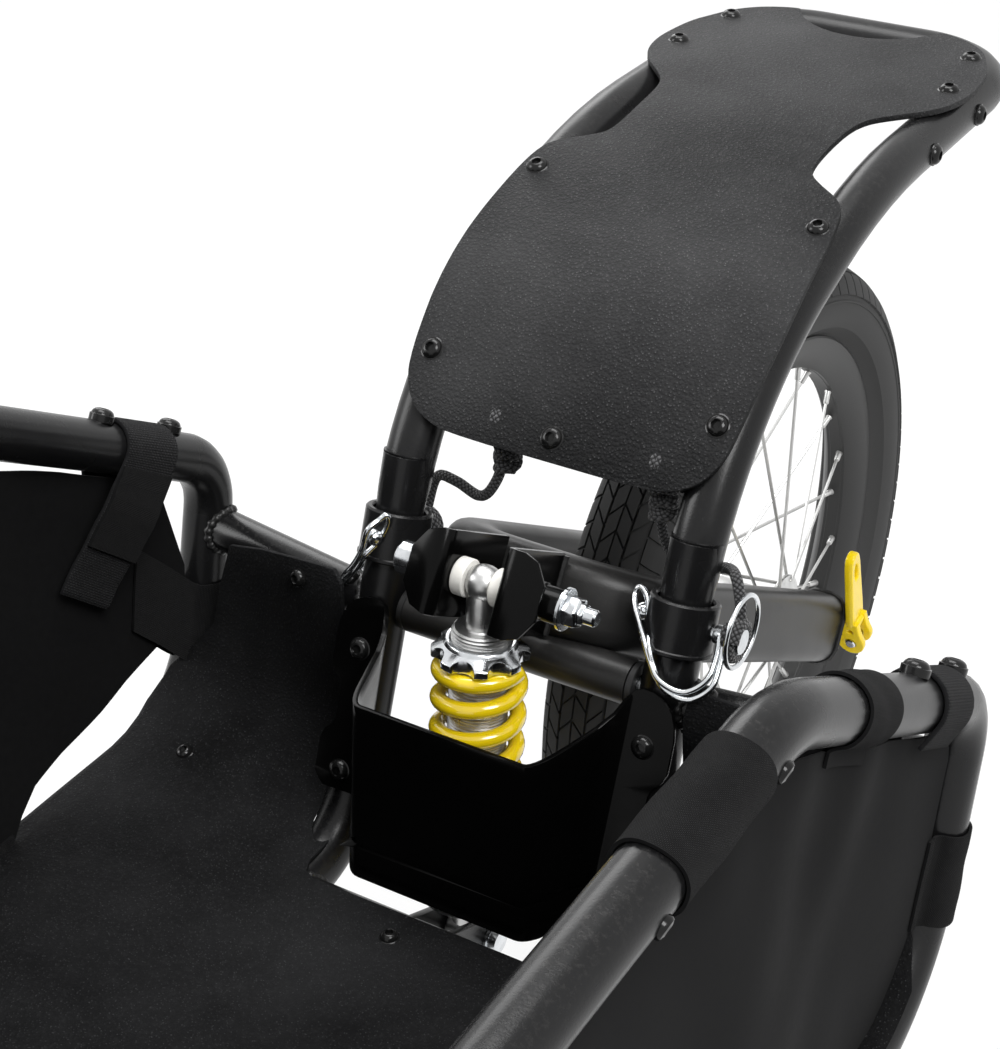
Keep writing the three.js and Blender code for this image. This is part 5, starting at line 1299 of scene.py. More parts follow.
class TRAILER_OT_floor(bpy.types.Operator):
    """Lay the grained floor sheet over the floor tubes and up the rear posts"""
    bl_idname = "trailer.floor"
    bl_label = "Floor sheet"
    bl_options = {"REGISTER", "UNDO"}

    def execute(self, context):
        off = 13.0
        z = FLOOR_Z + off
        corner_y = FOOT_Y + POST_RUN * off / POST_RISE + off * (POST_UP.z ** -1) * -1
        top = on_post(0, 128) - Vector((0, POST_UP.z, -POST_UP.y)) * off * MM
        run = bent([(at(0, -784, z), 0), (at(0, corner_y, z), 59), (top, 0)], 6)
        far = [0.0]
        for a, b in zip(run, run[1:]):
            far.append(far[-1] + (b - a).length / MM)

        def spot(along):
            i = 0
            while i < len(far) - 2 and far[i + 1] < along:
                i += 1
            share = (along - far[i]) / (far[i + 1] - far[i])
            return run[i].lerp(run[i + 1], share)

        def place(x, along):
            point = spot(along)
            height = (point.z - AXLE.z) / MM
            rise = min(1, max(0, (height - 44) / 73))
            inward = min(1, max(0, (200 - abs(x)) / 108))
            bulge = 1.1 * sin(along / 61 + 0.6) * sin(x / 47 + 0.3) * (1 - inward * 0.2)
            over = min(11.0, max(0.0, abs(x) - 205))
            lip = 12.9 - math.sqrt(12.9 ** 2 - over ** 2)
            return point + Vector((x, -26 * rise * inward, bulge - lip)) * MM

        flat = far[-1]
        cut = next(a for a in range(400, int(flat)) if (spot(a).z - AXLE.z) / MM > 44)
        mouth = CROSS_Y + 784
        half = [(0, 0), (200, 0), (210, 3), (214, 12), (214, flat - 118), (208, flat - 98),
                (194, flat - 80), (184, flat - 66), (180, flat - 40), (174, flat - 17), (150, flat - 10),
                (108, flat - 1.5), (99, flat), (93, flat - 5), (92, flat - 14), (92, cut + 6), (90, cut),
                (72, cut), (72, mouth + 10), (69, mouth + 3), (62, mouth), (0, mouth)]
        outline = half[1:-1] + [(-x, a) for x, a in reversed(half[1:-1])]
        sheet = cut_sheet(outline, place, 2.5, range(-210, 211, 15),
                          [k * 12 for k in range(1, int(flat // 12))], offset=1.0, edge=0.6)
        tools = []
        for x in (LEG_X, -LEG_X):
            cutter = tube(bent([(on_leg(x, 18.3), 0), (at(x, -293, FLOOR_Z), 46),
                                (at(x, -420, FLOOR_Z), 0)], 12), 12.95, sides=12)
            tools.append(cutter)
        cutter = join(*tools)
        finish_with(sheet, "BOOLEAN", operation="DIFFERENCE", solver="EXACT", object=cutter)
        bpy.data.objects.remove(cutter)
        keep(sheet, "bed_sheet", "frame", "floor_sheet", "floor_sheet", 40)
        heads = []
        for x, along in ((122, flat - 14), (-122, flat - 14), (175, 491), (-175, 491), (-8, 429), (150, 30),
                         (-150, 30), (0, 30), (180, 220), (-180, 220)):
            point = place(x, along)
            normal = (place(x + 1, along) - point).cross(place(x, along + 1) - point).normalized()
            heads.append((point + normal * 2.4 * MM, normal))
        button_bolts("floor_screws", heads, "frame", "fastener_black", 4.4)
        return {"FINISHED"}


# Front end and stand

# Profiles, (radius, along)
YOKE_HEAD = ((14.4, -42), (19.8, -42), (21, -41), (21, 41), (19.8, 42), (14.4, 42), (14.4, -42))
YOKE_PIN = (
    (0, -57.1), (10, -57.1), (18, -56.2), (18, -51.1), (13.8, -51.1), (13.8, 47.1), (18, 47.1), (18, 51),
    (16.4, 53), (9, 53.1), (8.6, 51.4), (0, 51.2),
)
YOKE_STUB = ((0, 54), (11.5, 54), (11.5, 61), (14, 62), (14, 64), (0, 64))
YOKE_BOSS = ((0, 2), (4, 2), (4, 11), (6.6, 11), (6.6, 12.2), (4, 12.6), (0, 12.6))


class TRAILER_OT_yoke(bpy.types.Operator):
    """Build the front cross tube, head tube, crown, yoke tubes and hitches"""
    bl_idname = "trailer.yoke"
    bl_label = "Front end and yoke"
    bl_options = {"REGISTER", "UNDO"}

    def execute(self, context):
        sizes = context.scene.trailer_tubes
        radius, bead = sizes.main / MM, sizes.bead / MM
        bar = tube([at(-LOOP_X + 3, FRONT_Y, FLOOR_Z), at(LOOP_X - 3, FRONT_Y, FLOOR_Z)], radius, sides=8)
        keep(bar, "front_tube", "frame", "frame_coat", "front_cross")
        head = turned(YOKE_HEAD, at(0, HEAD_Y, FLOOR_Z), Z, 48)
        neck = plate(rounded(-20, 20, -15, 15, 6), 138, at(0, -840, FLOOR_Z), X, Z, edge=0.4)
        ring = [at(0, -907, FLOOR_Z) + Vector((a, 0, b)) * MM for a, b in rounded(-20, 20, -15, 15, 6)]
        seam = rippled(ring, bead, closed=True)
        back = [p + Vector((0, 124, 0)) * MM for p in ring]
        seam = join(seam, tube(back, bead, closed=True, sides=2))
        coat(seam, "weld_coat")
        coat(head, "frame_coat")
        coat(neck, "frame_coat")
        keep(join(head, neck, seam), "head_and_neck", "frame", None, "head_tube")
        tongue = [(-24, -989), (24, -989)] + [(24 * cos(pi * k / 20), HEAD_Y + 24 * sin(pi * k / 20))
                                              for k in range(21)]
        top = plate(tongue, 6, at(0, 0, 43.8), X, Y, [circle(0, HEAD_Y, 14.4)], edge=0.8)
        low = plate(tongue, 6, at(0, 0, -47.8), X, Y, [circle(0, HEAD_Y, 14.4)], edge=0.8)
        block = plate(rounded(-34, 34, -50.8, 46.8, 6), 36, at(0, -971, 0), X, Z, edge=1.2)
        keep(join(top, low, block), "crown", "yoke", "frame_coat", "yoke_crown")
        pin = turned(YOKE_PIN, at(0, HEAD_Y, 0), Z, 40)
        keep(pin, "king_pin", "yoke", "bright_zinc", "steering_pin")
        for side, way in SIDES:
            self.arm(side, way, radius, bead)
        return {"FINISHED"}

    def arm(self, side, way, radius, bead):
        """One yoke tube with its hitch plate and lever."""
        run = bent([(at(way * 26, -969, FLOOR_Z), 0), (at(way * 112, -1012, FLOOR_Z), 60),
                    (at(way * 92, -1290, 138), 60), (at(way * 92, -1330, 138), 0)], 5)
        keep(tube(run, radius, sides=8), f"yoke_arm_{side}", "yoke", "frame_coat", f"yoke_tube_{side}")
        root = at(way * 34.6, -973.3, FLOOR_Z)
        seam = rippled([root + Vector((0, a, b)) * MM for a, b in circle(0, 0, 13.4, 40)], bead,
                       closed=True)
        keep(seam, f"yoke_weld_{side}", "yoke", "weld_coat", crisp=60)
        hook = [(21 * cos(pi / 2 + pi * k / 24), 21 * sin(pi / 2 + pi * k / 24)) for k in range(25)]
        hook = hook + [(55, -21), (58, -18), (58, 18), (55, 21)]
        below = [(a, b) for a, b in hook if not (abs(a) < 6.2 and b < 0)]
        cut = next(i for i, (a, b) in enumerate(below) if a > 0 and b < 0)
        slot = [(-6, -20), (-6, -1), (-4, 3.5), (0, 5), (4, 3.5), (6, -1), (6, -20)]
        plate_line = below[:cut] + slot + below[cut:]
        centre = at(way * 92, -1392, 138)
        body = plate(plate_line, 7, centre, Y, Z, edge=0.7)
        stub = turned(YOKE_STUB, centre, Y, 36)
        boss = turned(YOKE_BOSS, centre + Y * 32 * MM, X * way, 24)
        keep(join(body, stub, boss), f"dropout_{side}", "yoke", "frame_coat", f"hitch_{side}")
        shape = smoothed([(-8, -10), (8, -10), (8, 50), (5, 62), (-5, 62), (-8, 50)], 2)
        blade = plate(shape, 5.8, centre + (Y * 32 + X * way * 6.7) * MM, Y, Z,
                      [circle(0, 0, 4.3), rounded(-2.4, 2.4, 34, 52, 2.3)], edge=1.2)
        keep(blade, f"lever_{side}", f"hitch_lever_{side}", "yellow_coat", f"hitch_lever_{side}")


# Profiles, (radius, along)
STAND_FOOT = (
    (9.7, -20), (12, -20), (12.9, -19), (12.9, -13), (11.9, -12.4), (11.9, -11), (12.9, -10.4), (12.9, -4),
    (13.4, -3), (13.4, 12.6), (12, 14.6), (9.7, 14.6), (9.7, -20),
)
STAND_LOW = ((0, 4), (13, 4), (13.2, 13), (12, 14.4), (0, 14.5))
STAND_SCREW = ((0, -1), (4.2, -1), (4.2, 0.8), (3.2, 2.4), (0, 2.8))


class TRAILER_OT_stand(bpy.types.Operator):
    """Bend the fold-down stand and fit its feet and clamps"""
    bl_idname = "trailer.stand"
    bl_label = "Stand"
    bl_options = {"REGISTER", "UNDO"}

    def execute(self, context):
        radius = context.scene.trailer_tubes.stand / MM
        run = bent([(at(-140, STAND_Y, -184), 0), (at(-116, STAND_Y, -30), 26), (at(116, STAND_Y, -30), 26),
                    (at(140, STAND_Y, -184), 0)], 6)
        keep(tube(run, radius, sides=7), "stand_tube", "stand", "frame_coat", "stand_legs")
        for side, way in SIDES:
            line = Vector((way * 24, 0, -154)).normalized()
            foot = turned(STAND_FOOT, at(way * 140, STAND_Y, -184), line, 40)
            low = turned(STAND_LOW, at(way * 140, STAND_Y, -184), line, 40)
            keep(join(foot, low), f"rubber_foot_{side}", "stand", "foot_rubber", f"stand_foot_{side}")
            x = way * LEG_X
            block = plate(rounded(-15.5, 15.5, -45.5, -15, 6), 24, at(x, STAND_Y, 0), Y, Z,
                          [circle(0, -30, 9.9, 32)], edge=1.2)
            screw = turned(STAND_SCREW, Vector(), Z, 20)
            screws = copies(screw, [(at(x, STAND_Y, -45.3), -Z)])
            coat(block, "moulded_black")
            coat(screws, "bright_zinc")
            keep(join(block, screws), f"clamp_{side}", "frame", None, f"stand_clamp_{side}")
        return {"FINISHED"}


# Swing arm


def on_arm(x, ahead, off=0):
    """Point of the swing arm: across, forward from the axle, and off its line."""
    return AXLE + (X * x + ARM_AHEAD * ahead + ARM_UP * off) * MM


# Profiles, (radius, along)
ARM_SLEEVE = ((8, -60), (11, -60), (11, 60), (8, 60), (8, -60))
ARM_FLANGE = (
    (5.4, 48), (7.6, 48), (7.6, 60.3), (10.3, 60.3), (10.8, 60.8), (10.8, 63.2), (10.4, 63.6), (5.4, 63.6),
    (5.4, 48),
)
ARM_BUSH = ((4.3, 6.8), (8.6, 6.8), (9, 7.3), (9, 12.7), (8.6, 13.2), (4.3, 13.2), (4.3, 6.8))
ARM_ROD = ((0, -83), (4.4, -83), (5, -82.4), (5, 82.4), (4.4, 83), (0, 83))
ARM_BOLT = (
    (0, -39), (4.0, -39), (4.2, -44), (6.6, -44.3), (8, -43), (8, -32.4), (4, -32.3), (4, 57), (3.2, 58),
    (0, 58),
)
ARM_WASHER = ((4, 41.2), (9.6, 41.2), (10, 41.5), (10, 42.8), (9.6, 43.1), (4, 43.1), (4, 41.2))
ARM_NUT = ((4, 43.1), (7.6, 43.1), (7.6, 49), (6.7, 49.8), (5.4, 50), (5.2, 52.2), (4, 52.4), (4, 43.1))


class TRAILER_OT_arm(bpy.types.Operator):
    """Weld up the swing arm with its ears, bushings and bolts"""
    bl_idname = "trailer.swing_arm"
    bl_label = "Swing arm"
    bl_options = {"REGISTER", "UNDO"}

    def execute(self, context):
        bead = context.scene.trailer_tubes.bead / MM
        section = rounded(-13.6, 13.6, -19.3, 19.3, 10, 6)
        corners = [(on_arm(55.75, 17), 0), (on_arm(55.75, 272.4), 43), (on_arm(-55.75, 272.4), 43),
                   (on_arm(-55.75, 17), 0)]
        parts = [swept(bent(corners, 7.5), section, ARM_UP, False)]
        parts.append(turned(ARM_SLEEVE, PIVOT, X, 40))
        seams = []
        for way in (1, -1):
            outline = [(24, 15), (0, 15)] + [(-15 * sin(pi * k / 20), 15 * cos(pi * k / 20))
                                             for k in range(1, 20)]
            outline += [(0, -15), (24, -15)]
            outline = [(a, b) for a, b in outline if not (abs(a) < 3.2 and b < 0)]
            parts.append(plate(outline, 8, on_arm(way * 54, 0), ARM_AHEAD, ARM_UP, edge=0.8))
            middle = way * 55.75
            ring = [on_arm(middle + a, 17.5, b) for a, b in rounded(-13.2, 13.2, -18.8, 18.8, 10, 5)]
            seams.append(rippled(ring, bead * 1.1, 0.25, closed=True))
        for ahead in (265, 281):
            line = [on_arm(x, ahead, -19) for x in range(-14, 15, 2)]
            seams.append(rippled(line, bead * 0.9))
        arm = join(*parts)
        coat(arm, "arm_coat")
        beads = join(*seams)
        coat(beads, "weld_coat")
        keep(join(arm, beads), "rear_arm", "swing_arm", None, "swing_arm")
        for side, way in SIDES:
            self.ear(side, way)
            flange = turned(ARM_FLANGE, PIVOT, X * way, 32)
            keep(flange, f"pivot_bush_{side}", "swing_arm", "moulded_black", f"pivot_bushing_{side}")
            bush = turned(ARM_BUSH, EYE, X * way, 32)
            keep(bush, f"eye_bush_{side}", "swing_arm", "white_nylon", f"shock_bushing_{side}")
        rod = turned(ARM_ROD, PIVOT, X, 32)
        keep(rod, "arm_pin", "frame", "bright_zinc", "pivot_pin")
        self.bolt()
        return {"FINISHED"}

    def ear(self, side, way):
        """Folded plate with chamfered corners and a boss for the shock's bolt."""
        far = 363 if way > 0 else 357.5
        outline = [(286.6, -20), (286.6, 20), (far - 13, 20), (far - 6, 17.4), (far, 8), (far, -8),
                   (far - 6, -17.4), (far - 13, -20)]

        def place(along, up):
            past = along - 338.5
            if past <= 0:
                return on_arm(way * 15, along, up)
            turn = min(past / 5, pi / 2)
            out = 5 * (1 - cos(turn)) + max(0, past - 5 * pi / 2)
            return on_arm(way * (15 + out), 338.5 + 5 * sin(turn), up)
        sheet = cut_sheet(outline, place, 3, [338.5 + k for k in range(0, 9)], (), edge=0.5)
        end = 41 if way > 0 else 32
        boss = turned([(4.3, 14), (9, 14), (9, 30.6), (8.2, 31.4), (8.2, end - 1.4), (7.4, end), (4.3, end),
                       (4.3, 14)], on_arm(0, EAR_BOLT), X * way, 40)
        foot = [on_arm(way * 15, 287, b) for b in range(-19, 20, 2)]
        seam = rippled([p + X * way * 2 * MM for p in foot], 1.6)
        coat(sheet, "gloss_coat")
        coat(boss, "gloss_coat")
        coat(seam, "weld_coat")
        keep(join(sheet, boss, seam), f"arm_ear_{side}", "swing_arm", None, f"ear_{side}",
             40)

    def bolt(self):
        """Socket-headed bolt through the ears, with its washer and lock nut."""
        bolt = turned(ARM_BOLT, EYE, X, 40)
        washer = turned(ARM_WASHER, EYE, X, 40)
        nut = turned(ARM_NUT, EYE, X, 6)
        soften(nut, 0.5, 2, 25)
        keep(join(bolt, washer, nut), "eye_bolt", "swing_arm", "bright_zinc", "shock_bolt")


# Shock

# Profiles, (radius, along)
SHOCK_RING = (
    (14.4, -28.2), (16.2, -28.2), (16.7, -28.8), (17.2, -30.2), (21.4, -32.6), (22.8, -33.7), (22.8, -36.8),
    (22.2, -37.4), (14.4, -37.4), (14.4, -28.2),
)
SHOCK_SHAFT = (
    (0, -70), (6.4, -70), (6.4, -160), (9, -161), (12, -163), (23.6, -163), (24.5, -163.8), (24.5, -167.2),
    (23.6, -168), (11, -168), (9.6, -170), (9.6, -178), (8, -184), (0, -186),
)
SHOCK_FOOT = ((4.7, -8), (8.4, -8), (9, -7.2), (9, 7.2), (8.4, 8), (4.7, 8), (4.7, -8))


class TRAILER_OT_shock(bpy.types.Operator):
    """Build the coil-over shock with its castellated ring and spring"""
    bl_idname = "trailer.shock"
    bl_label = "Shock"
    bl_options = {"REGISTER", "UNDO"}

    def execute(self, context):
        sizes = context.scene.trailer_shock
        wire, mean, pitch = sizes.wire / MM, sizes.coil / MM, sizes.thread / MM
        dome = [(4.6, -6.5), (6.2, -6.3), (7.3, -5), (8.1, -3.2), (8.5, -1.4), (8.5, 1.4), (8.1, 3.2),
                (7.3, 5), (6.2, 6.3), (4.6, 6.5), (4.6, -6.5)]
        eye = turned(dome, EYE, X, 48)
        stem = [(0, -2), (6.4, -2), (7, -5), (7.7, -9), (7.8, -21.6), (8.4, -22.2), (12.4, -22.2),
                (13.3, -23)]
        down = -23.8
        while down > -111:
            stem += [(13.3, down), (14, down - pitch * 0.35), (14, down - pitch * 0.5),
                     (13.3, down - pitch * 0.85)]
            down -= pitch
        body = turned(stem + [(13.4, -112), (0, -112)], EYE, SHOCK_UP, 48)
        keep(join(eye, body), "damper_body", "shock_upper", "brushed_silver", "shock_body",
             30)
        ring = turned(SHOCK_RING, EYE, SHOCK_UP, 96)
        side = SHOCK_UP.cross(X)
        notches = []
        for k in range(8):
            angle = 2 * pi * (k + 0.2) / 8
            foot = EYE + (X * cos(angle) + side * sin(angle)) * 25.4 * MM
            notches.append(tube([foot - SHOCK_UP * 46 * MM, foot - SHOCK_UP * 24 * MM], 6.8, sides=8))
        cutter = join(*notches)
        finish_with(ring, "BOOLEAN", operation="DIFFERENCE", solver="EXACT", object=cutter)
        bpy.data.objects.remove(cutter)
        soften(ring, 0.45, 2, 30)
        keep(ring, "castle_ring", "shock_upper", "bright_zinc", "preload_ring", 30)
        shaft = turned(SHOCK_SHAFT, EYE, SHOCK_UP, 48)
        foot = turned(SHOCK_FOOT, LOWER_EYE, X, 40)
        keep(join(shaft, foot), "damper_shaft", "shock_lower", "brushed_silver", "shock_shaft")
        self.spring(sizes.turns, wire, mean)
        return {"FINISHED"}

    def spring(self, turns, wire, mean):
        """One wire wound down from the ring to the seat, its end turns lying closer."""
        top, low = -37.6 - wire, -162.7 + wire
        steps = int(turns * 36)
        drop = [0.0]
        for k in range(steps):
            drop.append(drop[-1] + 1 - math.exp(-k / 11) - math.exp((k - steps) / 11))
        run = []
        for k in range(steps + 1):
            angle = radians(5) - 2 * pi * k / 36
            run.append(EYE + ((X * cos(angle) + SHOCK_UP.cross(X) * sin(angle)) * mean
                              + SHOCK_UP * (top + (low - top) * drop[k] / drop[-1])) * MM)
        piece = tube(run, wire, sides=6)
        keep(piece, "coil_spring", "shock_upper", "spring_coat", "spring", 60)
        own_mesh(piece)


# Wheel

# Half profiles, (radius, out from the middle plane)
RIM_HALF = (
    (139.5, 5.5), (141.5, 7.6), (152.2, 13.5), (158.6, 14), (159.8, 13.4), (159.8, 12.4), (158.4, 11.9),
    (152.9, 11.6),
)
TYRE_HALF = (
    (200.2, 0.01), (199.4, 8), (197, 14), (194, 18), (189.3, 21.5), (183.5, 23.4), (178, 24.1), (172, 23.4),
    (168.4, 21.7), (166.4, 20.5), (165.8, 19.2), (163.6, 15.2), (161.2, 12.4), (157, 11.5), (153.6, 11.4),
)
HUB_HALF = (
    (10.2, 0.01), (10.2, 14), (11, 20), (14, 23.4), (20, 24.8), (22.2, 25.2), (22.5, 26.4), (22.2, 27.6),
    (20, 28.1), (13, 29.2), (11.6, 31.2), (11.2, 36), (8, 37.4), (7.2, 43.7), (8, 43.7), (8, 49.4),
    (7.4, 49.7), (3.1, 49.7),
)
# The tyre's crown, (out from the middle plane, radius)
CROWN = ((0, 200.2), (8, 199.4), (14, 197), (18, 194), (21.5, 189.3), (23.4, 183.5), (24.1, 178))
# Rows of tread: inner and outer edge, slant, steps across and shift round the tyre
TREAD = (
    (0.5, 6.6, 0.5, 2, 0.0),
    (8.0, 14.6, -0.55, 2, 0.35),
    (16.0, 23.2, 0.2, 3, 0.7),
)


def both_sides(half):
    """Closed profile of a wheel part from its half beyond the middle plane."""
    return [*half, *[(r, -x) for r, x in reversed(half)], half[0]]


# Profiles, (radius, along)
WHEEL_RIDGE = ((139.2, 3.4), (140.2, 4.8), (140.2, -4.8), (139.2, -3.4), (139.2, 3.4))
WHEEL_NIPPLE = ((0, -1), (2.1, -0.8), (2.2, 2), (1.7, 3), (1.7, 9), (1.2, 9.6), (0, 9.6))


class TRAILER_OT_wheel(bpy.types.Operator):
    """Mould the tyre's tread and lace the wheel"""
    bl_idname = "trailer.wheel"
    bl_label = "Wheel"
    bl_options = {"REGISTER", "UNDO"}

    def execute(self, context):
        sizes = context.scene.trailer_wheel
        self.tyre(sizes)
        rim = turned(both_sides(RIM_HALF), AXLE, X, 120)
        ridge = turned(WHEEL_RIDGE, AXLE, X, 120)
        keep(join(rim, ridge), "rim_ring", "wheel", "rim_black", "rim", 30)
        self.spokes(sizes)
        return {"FINISHED"}

    def wall(self, x):
        """Radius of the tyre's casing at a distance from its middle plane."""
        for (x0, r0), (x1, r1) in zip(CROWN, CROWN[1:]):
            if x <= x1:
                return r0 + (r1 - r0) * (x - x0) / (x1 - x0)
        return CROWN[-1][1]

    def tyre(self, sizes):
        """Casing with walls and beads, and blocks of tread in three rows a side."""
        casing = turned(both_sides(TYRE_HALF), AXLE, X, 160)
        pitch = 2 * pi / sizes.pitches
        gap = sizes.groove / MM / 202
        tall = sizes.depth / MM
        tread = []
        for low, high, slant, cuts, shift in TREAD:
            for way in (1, -1):
                def place(u, v, low=low, high=high, slant=slant, way=way, shift=shift):
                    x = low + (high - low) * u
                    angle = (v - 0.5) * (pitch - gap) + (slant * (u - 0.5) + shift) * pitch
                    radius = min(202.2, self.wall(x) + tall)
                    out = x + (0.9 if x > 21 else 0)
                    return Vector((way * out, radius * cos(angle), radius * sin(angle))) * MM
                block = spread(cuts, 2, place)
                if way < 0:
                    with editing(block):
                        bpy.ops.mesh.flip_normals()
                middle = block.data.polygons[0]
                outward = middle.normal.dot(Vector((0, middle.center.y, middle.center.z))) > 0
                finish_with(block, "SOLIDIFY", thickness=(tall + 0.8) * MM, offset=-1.0 if outward else 1.0)
                row = []
                for k in range(sizes.pitches):
                    other = bpy.data.objects.new("block", block.data.copy())
                    other.data.transform(Matrix.Translation(AXLE) @ Matrix.Rotation(pitch * k, 4, "X"))
                    bpy.context.collection.objects.link(other)
                    row.append(other)
                bpy.data.objects.remove(block)
                tread.append(join(*row))
        tread = join(*tread)
        with editing(tread):
            bpy.ops.mesh.normals_make_consistent(inside=False)
        ribs = [turned([(181.5 - 0.6, 23.2), (181.5, 24.3), (182.5, 24.3), (183.2, 23.0), (180.9, 23.2)],
                       AXLE, X * way, 160) for way in (1, -1)]
        keep(join(casing, tread, *ribs), "tyre_with_tread", "wheel", "tyre_rubber", "tyre",
             30)

    def spokes(self, sizes):
        """Hub with flanges, crossed spokes and nipples."""
        shell = turned(both_sides(HUB_HALF), AXLE, X, 60)
        coat(shell, "brushed_silver")
        wires = []
        nipple = turned(WHEEL_NIPPLE, Vector(), Z, 10)
        places = []
        for i in range(sizes.spokes):
            side = 1 if i % 2 else -1
            way = 1 if i % 4 < 2 else -1
            angle = 2 * pi * i / sizes.spokes
            lace = angle + way * radians(52)
            hole = AXLE + Vector((side * (26.4 + way * 1.6), 19 * cos(lace), 19 * sin(lace))) * MM
            bend = AXLE + Vector((side * (26.4 + way * 2.4), 19 * cos(lace), 19 * sin(lace))) * MM
            tip = AXLE + Vector((side * 2, 141 * cos(angle), 141 * sin(angle))) * MM
            inside = hole - Vector((side * way * 3.4, 0, 0)) * MM
            wires.append(tube(bent([(inside, 0), (bend, 1.4), (tip, 0)], 24), sizes.spoke / MM, sides=1))
            places.append((tip, bend - tip))
        wires.append(copies(nipple, places))
        lacing = join(*wires)
        coat(lacing, "spoke_steel")
        keep(join(shell, lacing), "hub_and_spokes", "wheel", None, "wheel_hub", 40)


# Profiles, (radius, along)
SKEWER_NUT = (
    (0, -67.3), (5.4, -67.3), (6.2, -66.6), (7.4, -61), (9, -60), (9, -58.4), (2.6, -58.3), (2.6, 58.3),
    (9, 58.3), (9, 60), (7.6, 63), (4.6, 63.4), (2.8, 64), (2.8, 74), (0, 75),
)
SKEWER_PIN = ((0, -7.8), (2.4, -7.8), (3, -7.2), (3, 7.2), (2.4, 7.8), (0, 7.8))


class TRAILER_OT_skewer(bpy.types.Operator):
    """Fit the quick-release skewer and its yellow lever"""
    bl_idname = "trailer.skewer"
    bl_label = "Quick release"
    bl_options = {"REGISTER", "UNDO"}

    def execute(self, context):
        nut = turned(SKEWER_NUT, AXLE, X, 36)
        cam_way = Vector((0, cos(radians(15)), sin(radians(15))))
        up = Vector((0, -sin(radians(15)), cos(radians(15))))
        cam = AXLE + X * 73.5 * MM
        pin = turned(SKEWER_PIN, cam, cam_way, 32)
        keep(join(nut, pin), "axle_skewer", "swing_arm", "bright_zinc", "skewer")
        outline = smoothed([(-7, 9), (7, 9), (7.4, 22), (6.4, 44), (6, 60), (3.6, 66), (-3.6, 66), (-6, 60),
                            (-6.4, 44), (-7.4, 22)], 2)
        hole = smoothed([(-2.3, 47), (2.3, 47), (1.9, 59), (-1.9, 59)], 1)
        blade = plate(outline, 5, cam, cam_way, up, [hole], edge=1.1)
        yoke = []
        for way in (1, -1):
            cheek = [(8 * cos(k * pi / 16 + pi), 8 * sin(k * pi / 16 + pi)) for k in range(17)]
            cheek += [(8, 2), (5.6, 9), (4.6, 16), (-4.6, 16), (-5.6, 9), (-8, 2)]
            window = smoothed([(-2.2, 8.4), (2.2, 8.4), (0, 11.6)], 1)
            yoke.append(plate(cheek, 3.8, cam + cam_way * way * 5.1 * MM, X, up,
                              [circle(0, 0, 3.2), window], edge=0.8))
        bridge = plate(rounded(-4.2, 4.2, 10.5, 15.5, 1.6), 11, cam, X, up, edge=0.8)
        keep(join(blade, bridge, *yoke), "release_lever", "qr_lever", "yellow_coat", "qr_lever")
        return {"FINISHED"}


# Middle line of each bail from the pin's head, along, out and up, with half the gap of its wires
BAIL = {
    "left": (
        (-24, 8.5, 1, 1.6), (-25.7, 12, -10, 1.8), (-25, 16, -19, 2), (-17, 19.5, -26, 2),
        (-4, 19, -24.5, 2), (3, 17, -17.5, 2), (8, 16.4, -9, 2.6), (15, 10.4, 0, 6.4),
    ),
    "right": (
        (-25, 9, 0, 1.6), (-22, 16, -10, 1.8), (-13, 22, -22, 2), (0, 24, -32, 2), (9, 18, -26, 2),
        (15, 10.5, -18, 2), (20, 4, -8, 2.8), (21, 0.5, 0, 6.4),
    ),
}
NOSE = {
    "left": (
        (21.6, 7.5, 9), (20, 7.2, 12.4), (16, 7.6, 9.6),
    ),
    "right": (
        (21, -2.4, 9.6), (20, -5, 12.6), (18, -5.4, 9),
    ),
}


# Profiles, (radius, along)
PINS_SHANK = (
    (0, -23.2), (1.8, -22.9), (3.3, -21.7), (4.2, -19.6), (4.1, -18), (3.2, -16.6), (3.2, 17), (4.2, 17.4),
    (4.6, 19), (4.6, 24), (6, 26), (6.4, 28), (6.4, 30.2), (5.8, 31), (0, 31.2),
)


class TRAILER_OT_pins(bpy.types.Operator):
    """Push in the lock pins and hang their wire bails"""
    bl_idname = "trailer.pins"
    bl_label = "Lock pins"
    bl_options = {"REGISTER", "UNDO"}

    def execute(self, context):
        for side, way in SIDES:
            centre = on_leg(way * LEG_X, 12)
            tip, swing = (-X, LEG_AHEAD) if side == "left" else (LEG_AHEAD, -X)
            shank = turned(PINS_SHANK, centre, -tip, 32)
            keep(shank, f"lock_shank_{side}", "frame", "bright_zinc", f"lock_pin_{side}")

            def place(along, out, up):
                return centre + (tip * along + swing * out + LEG_UP * up) * MM
            drop = 4 if way > 0 else -15
            ring = [place(-28.5, 17 * cos(2 * pi * k / 48) - 2, 17 * sin(2 * pi * k / 48) + drop)
                    for k in range(48)]
            keep(tube(ring, 1.2, closed=True, sides=3), f"pull_ring_{side}", "frame", "bright_zinc",
                 crisp=60)
            half = BAIL[side]

            def wires(sign):
                return [place(a + sign * gap * 0.7, b, c + sign * gap * 0.7) for a, b, c, gap in half]
            route = [*wires(1), *(place(*p) for p in NOSE[side]), *reversed(wires(-1))]
            bail = tube(flowing(route, 140), 1.45, sides=3)
            keep(bail, f"bail_wire_{side}", f"pin_bail_{side}", "bright_zinc", f"pin_bail_{side}",
                 60)
        return {"FINISHED"}


# Cloth

